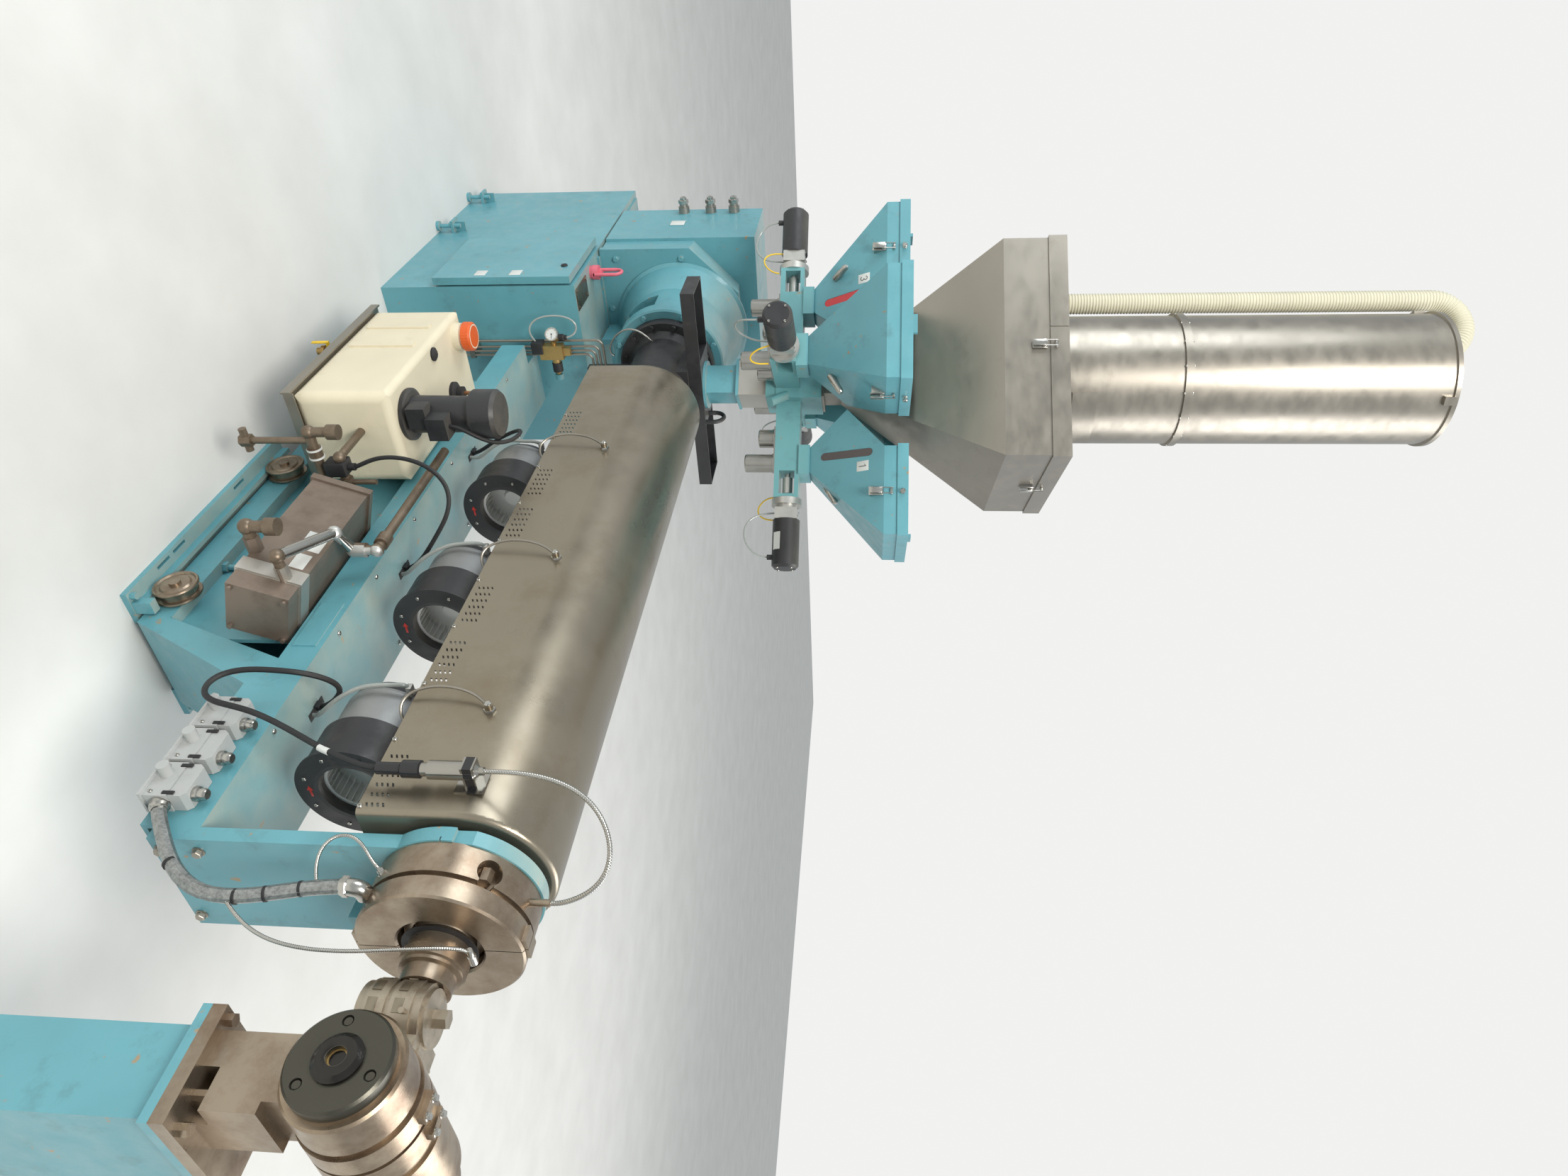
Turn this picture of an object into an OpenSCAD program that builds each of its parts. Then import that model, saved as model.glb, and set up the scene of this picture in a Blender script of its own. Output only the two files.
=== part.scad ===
// Single-screw plastic extruder with drive base, barrel under a sheet cover, feed station and die.
// Millimetres. X runs along the barrel toward the die, Y runs to the far side, Z is up from the floor.

/* [Barrel and cover] */
// Height of the barrel axis above the floor
axis_h = 1000; // [900:1200]
// Half width of the cover and radius of its round top
cover_r = 171.5; // [150:220]
// Sheet thickness of the cover
cover_t = 3; // [1.5:5]
// Rear end of the cover along X
cover_x0 = -1945; // [-2200:-1500]
// Front end of the cover along X
cover_x1 = -44; // [-100:-40]
// Drop of the cover's lower edge below the barrel axis
cover_drop = 176; // [150:200]
// Radius of the cover's rounded rear edge
cover_edge = 26; // [15:40]
// Outer radius of the barrel with its heater shells
barrel_r = 112; // [60:130]

/* [Cooling fans] */
// Distance between two fans
fan_pitch = 536; // [400:600]
// Front face of the fan nearest the die
fan_x = -234; // [-300:-180]
// Free height between the deck and the fan housings
fan_gap = 46; // [40:60]
// Radius of the black fan housing
fan_r = 124; // [100:140]
// Radius of the inlet opening in the housing face
fan_mouth_r = 72; // [50:90]
// Depth of the black fan housing
fan_depth = 108; // [80:120]
// Radius of the fan motor shell behind the housing
fan_motor_r = 104; // [80:110]
// Length of the fan motor shell
fan_motor_len = 98; // [80:160]
// Number of blades in each fan wheel
fan_blades = 32; // [16:40]

/* [Base frame] */
// Height of the deck under the fans
deck_h = 520; // [450:600]
// Half width of the deck
deck_hw = 131; // [110:160]
// Height of the folded deck skirt
skirt_h = 82; // [60:110]
// Height of the lower ledge above the floor
ledge_h = 105; // [90:130]
// Plate thickness of the frame
frame_t = 10; // [6:16]
// Clearance under the front foot
foot_gap = 30; // [20:40]

/* [Travel rails] */
// Distance of each rail from the centre line
rail_y = 151; // [140:180]
// Front end of the rails
rail_x1 = -642; // [-700:-600]
// Length of the rails
rail_len = 760; // [600:1200]
// Radius of the travel wheels
wheel_r = 53; // [40:63]

/* [Base cabinet] */
// Height of the cabinet top
cab_h = 702; // [650:760]
// Half width of the cabinet
cab_hw = 305; // [280:340]
// Front face of the cabinet
cab_x1 = -2285; // [-2350:-2200]
// Length of the cabinet
cab_len = 1115; // [1000:1400]
// Wall thickness of the cabinet
cab_t = 12; // [6:20]
// Width of the service door
door_w = 413; // [350:500]
// Height of the service door
door_hgt = 494; // [400:560]
// Free gap between the door and the cabinet wall
door_gap = 6; // [5:10]
// Depth of the folded door panel
door_t = 26; // [20:32]

/* [Gear unit and drive] */
// Front face of the gear housing
gear_x1 = -2650; // [-2700:-2600]
// Length of the gear housing
gear_len = 470; // [400:520]
// Height of the gear housing above the barrel axis
gear_rise = 288; // [240:320]
// Half width of the gear housing
gear_hw = 305; // [280:320]
// Corner cut of the gear housing
gear_cut = 175; // [120:200]
// Radius of the round front cover of the gear unit
bulge_r = 262; // [240:280]
// Radius of the lantern between gear unit and feed housing
lantern_r = 192; // [180:205]
// Front face of the lantern
lantern_x1 = -2311; // [-2330:-2300]
// Radius of the drive motor
motor_r = 150; // [120:180]

/* [Feed section] */
// Position of the feed throat along X
station_x = -2132; // [-2150:-2110]
// Turn of the feed station about the vertical
station_turn = 41.3; // [35:45]
// Radius of the feed housing flange
feed_flange_r = 171; // [160:180]
// Radius of the feed housing body
feed_body_r = 120; // [110:130]
// Side of the square feed throat
throat_side = 100; // [80:120]
// Height of the saddle above the barrel axis
saddle_h = 120; // [112:135]
// Depth of the slide tray
tray_h = 45; // [35:55]
// Height of the feed throat
throat_h = 122; // [100:140]

/* [Dosing station] */
// Height of the steel mixing block on the throat
block_h = 98; // [80:120]
// Height of the dosing axis above the mixing block
dose_rise = 78; // [70:90]
// Height of the tapered part of each dosing hopper
dose_cone_h = 255; // [230:280]
// Height of the straight upper part of each dosing hopper
dose_box_h = 43; // [35:55]
// Height of the dosing hopper lids
dose_lid_h = 35; // [28:42]
// Half width of each dosing hopper
dose_hw = 184; // [150:200]
// Outer end of the hoppers on the short arms
dose_short = 494; // [450:550]
// Outer end of the hoppers on the long arms
dose_long = 582; // [500:620]
// Radial length of each dosing hopper
dose_len = 295; // [250:320]
// Radius of the dosing motors
dose_motor_r = 46; // [40:50]

/* [Main hopper] */
// Half length of the hopper box
hop_a = 363; // [330:400]
// Half width of the hopper box
hop_b = 316; // [280:340]
// Height of the tapered part of the hopper
hop_cone_h = 519; // [480:560]
// Height of the straight box of the hopper
hop_box_h = 141; // [120:170]
// Height of the hopper lid
hop_lid_h = 58; // [45:70]
// Half side of the hopper outlet
hop_out = 55; // [45:60]
// Radius of the loader above the lid
load_r = 212; // [190:230]
// Height of the lower loader half
load_low_h = 395; // [350:450]
// Height of the upper loader half
load_high_h = 817; // [700:850]
// Outside radius of the ribbed suction hose
hose_r = 37; // [25:42]

/* [Head and die] */
// Radius of the barrel head flange and of the clamp ring
head_r = 154; // [140:165]
// Front face of the clamp ring
ring_x1 = 115; // [100:125]
// Radius of the adapter neck
neck_r = 56; // [45:65]
// Position of the valve block along X
valve_x = 246; // [240:260]
// Radius of the valve block
valve_r = 56; // [50:60]
// Position of the die axis along X
die_x = 414; // [400:430]
// Near face of the die
die_y = -181; // [-200:-160]
// Radius of the die face
die_r = 80; // [70:90]

/* [Tempering unit] */
// Front end of the water tank
tank_x1 = -1240; // [-1300:-1200]
// Length of the water tank
tank_len = 580; // [500:620]
// Free gap between the water tank and the deck skirt
tank_gap = 6; // [4:15]
// Width of the water tank
tank_w = 272; // [250:290]
// Underside of the water tank
tank_z0 = 207; // [180:230]
// Height of the water tank
tank_h = 262; // [240:280]
// Radius of the tank's rounded edges
tank_edge = 22; // [12:30]

/* [View] */
// Facets of a round edge
round_facets = 48; // [24:96]
// Facets of a large round edge
big_facets = 72; // [48:120]
// Which piece to draw

/* [Hidden] */
$fn = round_facets;
die_foot = 186;
mid_x = -(cab_x1 - cab_len + die_x + die_foot) / 2;
mid_y = 0;
support_t = 30;
support_r = 158;
deck_x0 = -2180;
cover_bottom = axis_h - cover_drop;
front_edge = 12;
fan_z = deck_h + fan_gap + fan_r;
fan_wall = 3;
shaft_r = 9;
fan_hole_r = 22;
wheel_w = 34;
groove = 8;
rail_bar = 6;
rail_top = 35;
seat_gap = 0.3;
base_z = cab_h + 8;
wheel_z = rail_top + seat_gap + wheel_r - groove;
ledge_x = [-1960, -640];
tube_x = -2222;
tube_r = 4.5;
tube_bend = 22;
tube_y = [-129, -107, -91, -77];
tube_z = [790, 774, 760, 746];
cab_x0 = cab_x1 - cab_len;
gear_x0 = gear_x1 - gear_len;
gear_top = axis_h + gear_rise;
plate_t = 26;
plate_top = gear_top - 60;
disc_r = 255;
door_x1 = cab_x1 - 2;
door_x0 = door_x1 - door_w;
door_z0 = 195;
door_y1 = -cab_hw - door_gap;
door_y0 = door_y1 - door_t;
hinge_x = door_x0 - 16;
hinge_y = -cab_hw - 19;
hinge_pin = 4;
hinge_z = [door_z0 + 90, door_z0 + door_hgt - 90];
eye_x = -2521;
eye_y = -265;
saddle_z = axis_h + saddle_h;
tray_z1 = saddle_z + tray_h;
bore_r = 36;
throat_z1 = tray_z1 + throat_h;
block_z1 = throat_z1 + block_h;
dose_axis = block_z1 + dose_rise;
dose_z0 = dose_axis + 72;
dose_z1 = dose_z0 + dose_cone_h;
dose_z2 = dose_z1 + dose_box_h;
dose_top = dose_z2 + dose_lid_h;
dose_mid = dose_z0 + 130;
dose_out = 45;
dose_wall = 4;
core_top = dose_z0 + 40;
hop_cone_z = core_top + 65;
hop_z0 = hop_cone_z + hop_cone_h;
hop_z1 = hop_z0 + hop_box_h;
hop_z2 = hop_z1 + hop_lid_h;
load_x = -11;
load_band_z = hop_z2 + load_low_h;
load_top = load_band_z + load_high_h;
hose_z = load_top + 40;
hose_bend = 96;
ring_x0 = 72;
die_rear = 240;
ped_top = axis_h - 254;
tray_z = tank_z0 - 12;
tank_y1 = -deck_hw - tank_gap;
tank_y0 = tank_y1 - tank_w;
tank_x0 = tank_x1 - tank_len;
tank_top = tank_z0 + tank_h;
pump_x = tank_x1 - 96;
pump_y = tank_y1 - 165;
exch_x0 = -1040;
exch_x1 = -510;
port_a = [-640, 90];
port_b = [-710, 185];
lead_r = 3.2;
fans = [0, 1, 2];
sides = [-1, 1];
arms = [0, 90, 180, 270];
// Route of the armoured probe lead from the pressure sensor over the cover's front to the head.
probe_route = [[-120, -207, 1052], [-120, -207, 1085], [-119, -206, 1125], [-113, -203, 1170],
    [-102, -196, 1212], [-86, -184, 1248], [-64, -166, 1276], [-38, -142, 1294], [-12, -114, 1300],
    [10, -86, 1290], [24, -64, 1268], [31, -48, 1240], [34, -37, 1214], [35, -34, 1198],
    [35, -34, 1186.2]];
// Route of a thermocouple lead on the cover's side, from its socket down and in under the edge.
thermo_route = [[-6.5, -182, -6.5], [-12, -182.5, -12], [-22, -185, -24], [-32, -189, -42], [-40, -192, -66],
    [-45, -193, -92], [-47, -193, -118], [-45, -190, -144], [-39, -186, -167], [-28, -180, -185],
    [-12, -170, -193], [4, -154, -190], [17, -135, -174], [26, -118, -144],
    [31, -100.4, -94.4], [33, -89.1, -83.1], [33, -79.3, -73.3]];
thermo_x = [-1375, -840, -313];

// Places its children with the origin under the middle of the machine.
module place() {
    translate([mid_x, mid_y, 0]) children();
}

// Frame of the feed station, turned about the throat.
module station() {
    translate([mid_x + station_x, mid_y, 0]) rotate([0, 0, station_turn]) children();
}

// Box between two corners.
module bx(a, b) {
    translate(a) cube([b[0] - a[0], b[1] - a[1], b[2] - a[2]]);
}

// Cylinder along X from x0 to x1 about the point y, z.
module cx(x0, x1, y, z, r, f = round_facets) {
    translate([x0, y, z]) rotate([0, 90, 0]) cylinder(h = x1 - x0, r = r, $fn = f);
}

// Cylinder along Y from y0 to y1 about the point x, z.
module cy(x, y0, y1, z, r, f = round_facets) {
    translate([x, y0, z]) rotate([-90, 0, 0]) cylinder(h = y1 - y0, r = r, $fn = f);
}

// Cylinder along Z from z0 to z1 about the point x, y.
module cz(x, y, z0, z1, r, f = round_facets) {
    translate([x, y, z0]) cylinder(h = z1 - z0, r = r, $fn = f);
}

// Turned body about the X axis at height z, from pairs of radius and X.
module turned(pts, z) {
    translate([0, 0, z]) rotate([0, 90, 0]) rotate_extrude($fn = big_facets) polygon(pts);
}

// Plate standing in the XZ plane between y0 and y1 with the outline pts.
module side_plate(pts, y0, y1) {
    translate([0, y1, 0]) rotate([90, 0, 0]) linear_extrude(height = y1 - y0) polygon(pts);
}

// Flat rounded outline from a to b with corner radius r.
module round_rect(a, b, r) {
    translate([a[0] + r, a[1]]) square([b[0] - a[0] - 2 * r, b[1] - a[1]]);
    translate([a[0], a[1] + r]) square([b[0] - a[0], b[1] - a[1] - 2 * r]);
    for (x = [a[0] + r, b[0] - r], y = [a[1] + r, b[1] - r]) {
        translate([x, y]) circle(r = r, $fn = 32);
    }
}

// Tube swept through the points of a route, with the given radius and eight sides.
module sweep(route, r) {
    n = len(route);
    pts = [for (i = [0 : n - 1]) let(
            d = route[min(i + 1, n - 1)] - route[max(i - 1, 0)],
            t = d / norm(d),
            ref = abs(t[0]) > 0.8 ? [0, 1, 0] : [1, 0, 0],
            a = cross(t, ref) / norm(cross(t, ref)),
            b = cross(t, a))
        for (k = [0 : 7]) route[i] + r * (cos(45 * k) * a + sin(45 * k) * b)];
    walls = [for (i = [0 : n - 2], k = [0 : 7])
        [8 * i + k, 8 * i + (k + 1) % 8, 8 * i + 8 + (k + 1) % 8, 8 * i + 8 + k]];
    ends = [[for (k = [7 : -1 : 0]) k], [for (k = [0 : 7]) 8 * (n - 1) + k]];
    polyhedron(points = pts, faces = concat(walls, ends));
}

module base_frame() {
    color([0.36, 0.66, 0.68]) place() {
        z_low = deck_h - 120;
        cheek = [[-668, foot_gap], [-620, foot_gap], [-420, z_low], [-support_t, z_low],
            [-support_t, deck_h], [-470, deck_h]];
        for (s = sides) {
            side_plate(cheek, s > 0 ? deck_hw - frame_t : -deck_hw, s > 0 ? deck_hw : -deck_hw + frame_t);
        }
        side_plate([[-620, foot_gap], [-420, z_low], [-433, z_low + 6], [-632, foot_gap + 6]],
            -deck_hw + 1, deck_hw - 1);
        side_plate([[-668, foot_gap], [-655, foot_gap], [-457, deck_h - 1], [-470, deck_h - 1]],
            -deck_hw + 1, deck_hw - 1);
        bx([-668, -deck_hw, foot_gap], [-620, deck_hw, foot_gap + frame_t]);
        bx([-433, -deck_hw + 1, z_low], [-support_t, deck_hw - 1, z_low + frame_t]);
        bx([deck_x0, -deck_hw, deck_h - frame_t], [-support_t, deck_hw, deck_h]);
        bx([cab_x1, -60, deck_h - frame_t], [deck_x0 + 1, deck_hw, deck_h]);
        bx([cab_x1, -60, deck_h - skirt_h], [deck_x0 + 1, -50, deck_h]);
        for (s = sides) {
            x_rear = s > 0 ? cab_x1 : deck_x0;
            y_out = s > 0 ? deck_hw - frame_t : -deck_hw;
            bx([x_rear, y_out, deck_h - skirt_h], [-440, y_out + frame_t, deck_h]);
            y_web = s > 0 ? 90 : -100;
            bx([ledge_x[0], y_web, ledge_h - frame_t], [-600, y_web + frame_t, deck_h - 1]);
            y_led = s > 0 ? 90 : -deck_hw;
            bx([ledge_x[0], y_led, ledge_h - frame_t], [ledge_x[1], y_led + deck_hw - 90, ledge_h]);
            bx([ledge_x[0], y_out, foot_gap], [ledge_x[1], y_out + frame_t, ledge_h]);
        }
        bx([ledge_x[0], -100, ledge_h - frame_t], [ledge_x[0] + frame_t, 100, deck_h - 1]);
        for (x = [-870, -1960 + 120]) {
            cz(x, -deck_hw + 22, ledge_h - 1, ledge_h + 12, 15, 6);
            cz(x, -deck_hw + 22, ledge_h + 11, ledge_h + 46, 8);
            cz(x, -deck_hw + 22, ledge_h + 45, ledge_h + 58, 13, 6);
        }
        bx([-700, -deck_hw - 3, deck_h - skirt_h + 12], [-545, -deck_hw + 1, deck_h - 14]);
        bx([tank_x1 - 560, -120, tray_z - 42], [tank_x1 - 30, -99, tray_z - 14]);
    }
}

module floor_rails() {
    color([0.36, 0.66, 0.68]) place() {
        for (s = sides) {
            y = s * rail_y;
            difference() {
                bx([rail_x1 - rail_len, y - 42, 0], [rail_x1, y + 42, 15]);
                for (x = [rail_x1 - 150, rail_x1 - 220, rail_x1 - 520]) {
                    bx([x - 26, y - s * 22 - 4 + s * 50, -1], [x + 26, y - s * 22 + 4 + s * 50, 16]);
                }
            }
            bx([rail_x1 - rail_len, y - rail_bar, 14], [rail_x1 - 26, y + rail_bar, rail_top]);
            bx([rail_x1 - 25, y - 16, 14], [rail_x1 - 3, y + 16, 62]);
            cz(rail_x1 - 14, y + s * 29, 14, 30, 9, 6);
        }
    }
}

module travel_wheels() {
    color([0.3, 0.29, 0.28]) place() {
        for (s = sides, x = [-723, -1290]) {
            translate([x, s * rail_y, wheel_z]) rotate([90, 0, 0]) rotate_extrude($fn = big_facets)
                polygon([[0, -wheel_w / 2], [wheel_r - 20, -wheel_w / 2], [wheel_r - 16, -wheel_w / 2 + 4],
                    [wheel_r - 9, -wheel_w / 2 + 4], [wheel_r - 6, -wheel_w / 2],
                    [wheel_r - 2, -wheel_w / 2],
                    [wheel_r, -wheel_w / 2 + 3], [wheel_r - 1, -groove - 2], [wheel_r - groove, -groove],
                    [wheel_r - groove, groove], [wheel_r - 1, groove + 2], [wheel_r, wheel_w / 2 - 3],
                    [wheel_r - 2, wheel_w / 2], [wheel_r - 6, wheel_w / 2], [wheel_r - 9, wheel_w / 2 - 4],
                    [wheel_r - 16, wheel_w / 2 - 4], [wheel_r - 20, wheel_w / 2], [0, wheel_w / 2]]);
            y_in = s > 0 ? deck_hw : -rail_y - 24;
            y_out = s > 0 ? rail_y + 24 : -deck_hw;
            cy(x, y_in, y_out, wheel_z, 14);
        }
    }
}

module base_cabinet() {
    color([0.36, 0.66, 0.68]) place() {
        difference() {
            bx([cab_x0, -cab_hw, 0], [cab_x1, cab_hw, cab_h]);
            bx([cab_x0 + cab_t, -cab_hw + cab_t, cab_t], [cab_x1 - cab_t, cab_hw - cab_t, cab_h - cab_t]);
            bx([door_x0 + 30, -cab_hw - 1, door_z0 + 30],
                [door_x1 - 30, -cab_hw + cab_t + 1, door_z0 + door_hgt - 30]);
        }
        bx([cab_x0 + 24, -cab_hw + 24, cab_h - 1], [gear_x1 + 20, cab_hw - 24, base_z]);
        for (z = hinge_z) {
            cz(hinge_x, hinge_y, z - 32, z + 32, hinge_pin);
            for (k = sides) {
                bx([hinge_x - 6, hinge_y - 6, z + k * 27 - 5], [hinge_x + 6, -cab_hw, z + k * 27 + 5]);
            }
        }
        for (x = [cab_x0 + 120, cab_x1 - 615], s = sides) {
            y0 = s > 0 ? cab_hw - 1 : -cab_hw - 45;
            bx([x - 30, y0, 60], [x + 30, y0 + 46, 70]);
            bx([x - 4, y0 + (s > 0 ? 0 : 9), 69], [x + 4, y0 + (s > 0 ? 37 : 46), 110]);
            cz(x + 16, s * (cab_hw + 25), 11, 96, 8);
            cz(x + 16, s * (cab_hw + 25), 0, 12, 19);
        }
    }
}

module cabinet_door() {
    color([0.36, 0.66, 0.68]) place() {
        difference() {
            bx([door_x0, door_y0, door_z0], [door_x1, door_y1, door_z0 + door_hgt]);
            bx([door_x0 + 3, door_y0 + 3, door_z0 + 3], [door_x1 - 3, door_y1 + 1, door_z0 + door_hgt - 3]);
        }
        for (z = hinge_z) {
            difference() {
                union() {
                    cz(hinge_x, hinge_y, z - 21, z + 21, 9);
                    bx([hinge_x, hinge_y - 5, z - 21], [door_x0 + 2, hinge_y + 5, z + 21]);
                }
                cz(hinge_x, hinge_y, z - 22, z + 22, hinge_pin + 0.05);
            }
        }
    }
}

// Outline of the gear unit's front plate seen along X, moved in by g.
module gear_outline(g) {
    w = gear_hw - g;
    polygon([[-w, base_z], [w, base_z], [w, plate_top - gear_cut], [w - gear_cut, plate_top - g],
        [-w + gear_cut, plate_top - g], [-w, plate_top - gear_cut]]);
}

module gearbox() {
    color([0.36, 0.66, 0.68]) place() {
        bx([gear_x0, -gear_hw, base_z], [gear_x1 - 119, gear_hw, gear_top]);
        translate([gear_x1 - 120, 0, 0]) rotate([90, 0, 90]) linear_extrude(height = 120) gear_outline(10);
        translate([gear_x1 - plate_t, 0, 0]) rotate([90, 0, 90]) linear_extrude(height = plate_t)
            gear_outline(0);
        for (z = [axis_h + 175, axis_h + 80, axis_h - 30]) {
            cy(gear_x0 + 45, -gear_hw - 26, -gear_hw + 1, z, 22);
            cy(gear_x0 + 45, -gear_hw - 40, -gear_hw - 25, z, 17);
        }
        bx([gear_x0 + 150, -gear_hw - 2, axis_h - 66], [gear_x0 + 205, -gear_hw + 1, axis_h - 6]);
    }
}

module gearbox_cover() {
    color([0.36, 0.66, 0.68]) place() {
        rim = lantern_r + 11;
        difference() {
            turned([[0, gear_x1], [disc_r, gear_x1], [disc_r, gear_x1 + 8], [disc_r - 12, gear_x1 + 16],
                [rim + 12, gear_x1 + 104], [rim, gear_x1 + 136], [rim, lantern_x1 - 6],
                [rim - 6, lantern_x1], [0, lantern_x1]], axis_h);
            bx([gear_x1 - 1, -400, cab_h - 300], [lantern_x1 + 1, 400, base_z]);
            for (s = sides) {
                bx([lantern_x1 - 150, s > 0 ? 112 : -300, axis_h - 160],
                    [lantern_x1 - 60, s > 0 ? 300 : -112, axis_h - 40]);
            }
        }
        bx([gear_x1, -10, base_z], [gear_x1 + 150, 10, axis_h - 180]);
        for (a = [22.5 : 45 : 337.5]) {
            translate([lantern_x1 - 1, 186 * sin(a), axis_h + 186 * cos(a)]) rotate([0, 90, 0])
                cylinder(h = 12, r = 9, $fn = 6);
        }
    }
}

module drive_motor() {
    color([0.3, 0.55, 0.57]) place() {
        turned([[0, gear_x0 - 262], [motor_r - 20, gear_x0 - 262], [motor_r, gear_x0 - 240],
            [motor_r, gear_x0 - 190], [motor_r - 8, gear_x0 - 186], [motor_r - 8, gear_x0 - 44],
            [motor_r + 12, gear_x0 - 40], [motor_r + 12, gear_x0], [0, gear_x0]], axis_h);
        for (a = [-60 : 15 : 240]) {
            translate([gear_x0 - 188, 0, axis_h]) rotate([a, 0, 0])
                bx([0, motor_r - 12, -2.5], [146, motor_r + 8, 2.5]);
        }
        bx([gear_x0 - 225, -110, base_z], [gear_x0 - 40, 110, axis_h - motor_r + 40]);
    }
}

module lifting_eye() {
    color([0.93, 0.42, 0.55]) place() {
        cz(eye_x, eye_y, cab_h, cab_h + 10, 24);
        difference() {
            cz(eye_x, eye_y, cab_h + 9, cab_h + 32, 26);
            bx([eye_x - 30, eye_y - 5, cab_h + 14], [eye_x + 30, eye_y + 5, cab_h + 26]);
        }
        cz(eye_x, eye_y, cab_h + 31, cab_h + 44, 13, 6);
        for (s = sides) {
            cz(eye_x + s * 25, eye_y, cab_h + 20, cab_h + 92, 6.5, 24);
        }
        translate([eye_x, eye_y, cab_h + 91]) rotate([90, 0, 0]) rotate_extrude(angle = 180)
            translate([25, 0]) circle(r = 6, $fn = 16);
    }
}

module feed_housing() {
    color([0.13, 0.13, 0.13]) place() {
        turned([[0, lantern_x1], [feed_flange_r, lantern_x1], [feed_flange_r, lantern_x1 + 26],
            [feed_flange_r - 6, lantern_x1 + 32], [feed_body_r + 18, lantern_x1 + 34],
            [feed_body_r, lantern_x1 + 58], [feed_body_r, cover_x0 - 5], [0, cover_x0 - 5]], axis_h);
        bx([station_x - 90, -90, axis_h], [station_x + 90, 90, saddle_z]);
        for (a = [15 : 30 : 345]) {
            translate([lantern_x1 + 30, 0, axis_h]) rotate([a, 0, 0]) translate([0, 0, feed_flange_r - 17])
                rotate([0, 90, 0]) cylinder(h = 14, r = 8, $fn = 24);
        }
        bx([tube_x - 18, -30, axis_h - 275], [tube_x + 18, 30, axis_h - 100]);
    }
}

module feed_throat() {
    color([0.36, 0.66, 0.68]) station() {
        difference() {
            union() {
                translate([-throat_side / 2, -throat_side / 2, tray_z1])
                    cube([throat_side, throat_side, throat_h]);
                cz(0, 0, tray_z1, tray_z1 + 9, 82);
                bx([-66, -66, throat_z1 - 9], [66, 66, throat_z1]);
            }
            cz(0, 0, tray_z1 - 5, throat_z1 + 3, bore_r);
        }
    }
}

module slide_tray() {
    color([0.16, 0.15, 0.15]) place() {
        difference() {
            bx([station_x - 80, -360, saddle_z], [station_x + 80, 360, tray_z1]);
            for (s = sides) {
                bx([station_x - 75, s > 0 ? 120 : -355, saddle_z + 5],
                    [station_x + 75, s > 0 ? 355 : -120, tray_z1 + 1]);
            }
            cz(station_x, 0, saddle_z - 10, tray_z1 + 5, bore_r);
        }
        for (x = [34, 102]) {
            cz(station_x - 30 + x, 108, tray_z1 - 1, tray_z1 + 26, 8, 24);
        }
        translate([station_x + 38, 108, tray_z1 + 25]) rotate([90, 0, 0]) rotate_extrude(angle = 180)
            translate([34, 0]) circle(r = 7.5, $fn = 12);
    }
}

module barrel() {
    color([0.45, 0.42, 0.38]) place() {
        turned([[0, cover_x0 - 5], [barrel_r - 12, cover_x0 - 5], [barrel_r - 12, -1880], [barrel_r, -1880],
            [barrel_r, -1330], [barrel_r - 6, -1330], [barrel_r - 6, -1290], [barrel_r, -1290],
            [barrel_r, -800], [barrel_r - 6, -800], [barrel_r - 6, -760], [barrel_r, -760],
            [barrel_r, -260], [barrel_r - 6, -260], [barrel_r - 6, -220], [barrel_r, -220],
            [barrel_r, -support_t], [barrel_r - 0.3, -support_t], [barrel_r - 0.3, 0], [0, 0]], axis_h);
        for (x = [-1700, -1160, -625, -130], s = sides) {
            y0 = s > 0 ? barrel_r - 8 : -cover_r + cover_t;
            bx([x, y0, axis_h - 22], [x + 20, y0 + cover_r - cover_t - barrel_r + 8, axis_h - 2]);
        }
    }
}

// Half plan of the cover, grown by g, with radius across and X along.
module cover_half(g) {
    rear = cover_x0 + cover_edge;
    translate([0, cover_x0 - g]) square([cover_r - cover_edge, cover_x1 - cover_x0 + 2 * g]);
    translate([0, rear]) square([cover_r + g, cover_x1 - front_edge - rear]);
    translate([0, rear]) square([cover_r - front_edge, cover_x1 + g - rear]);
    translate([cover_r - cover_edge, rear]) circle(r = cover_edge + g, $fn = 32);
    translate([cover_r - front_edge, cover_x1 - front_edge]) circle(r = front_edge + g, $fn = 32);
}

// The cover's solid form, grown by g: turned over the top and straight down the sides to z_low.
module cover_form(g, z_low) {
    translate([0, 0, axis_h]) rotate([0, 90, 0]) rotate([0, 0, 90])
        rotate_extrude(angle = 180, $fn = big_facets) cover_half(g);
    translate([0, 0, z_low]) linear_extrude(height = axis_h - z_low) {
        rotate([0, 0, -90]) cover_half(g);
        mirror([0, 1]) rotate([0, 0, -90]) cover_half(g);
    }
}

// Slots in the cover's side in groups of columns and rows, cut along Y.
module cover_slots(y0, y1) {
    for (i = fans, x = [109, -229]) {
        xm = fan_x - i * fan_pitch + x;
        for (c = [-2.5 : 2.5], r = [0 : 3]) {
            xs = xm + c * 24;
            zs = cover_bottom + 12 + r * 10.5;
            side_plate([[xs - 3, zs], [xs + 6, zs + 4], [xs + 6, zs + 8], [xs - 3, zs + 4]], y0, y1);
        }
    }
}

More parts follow.
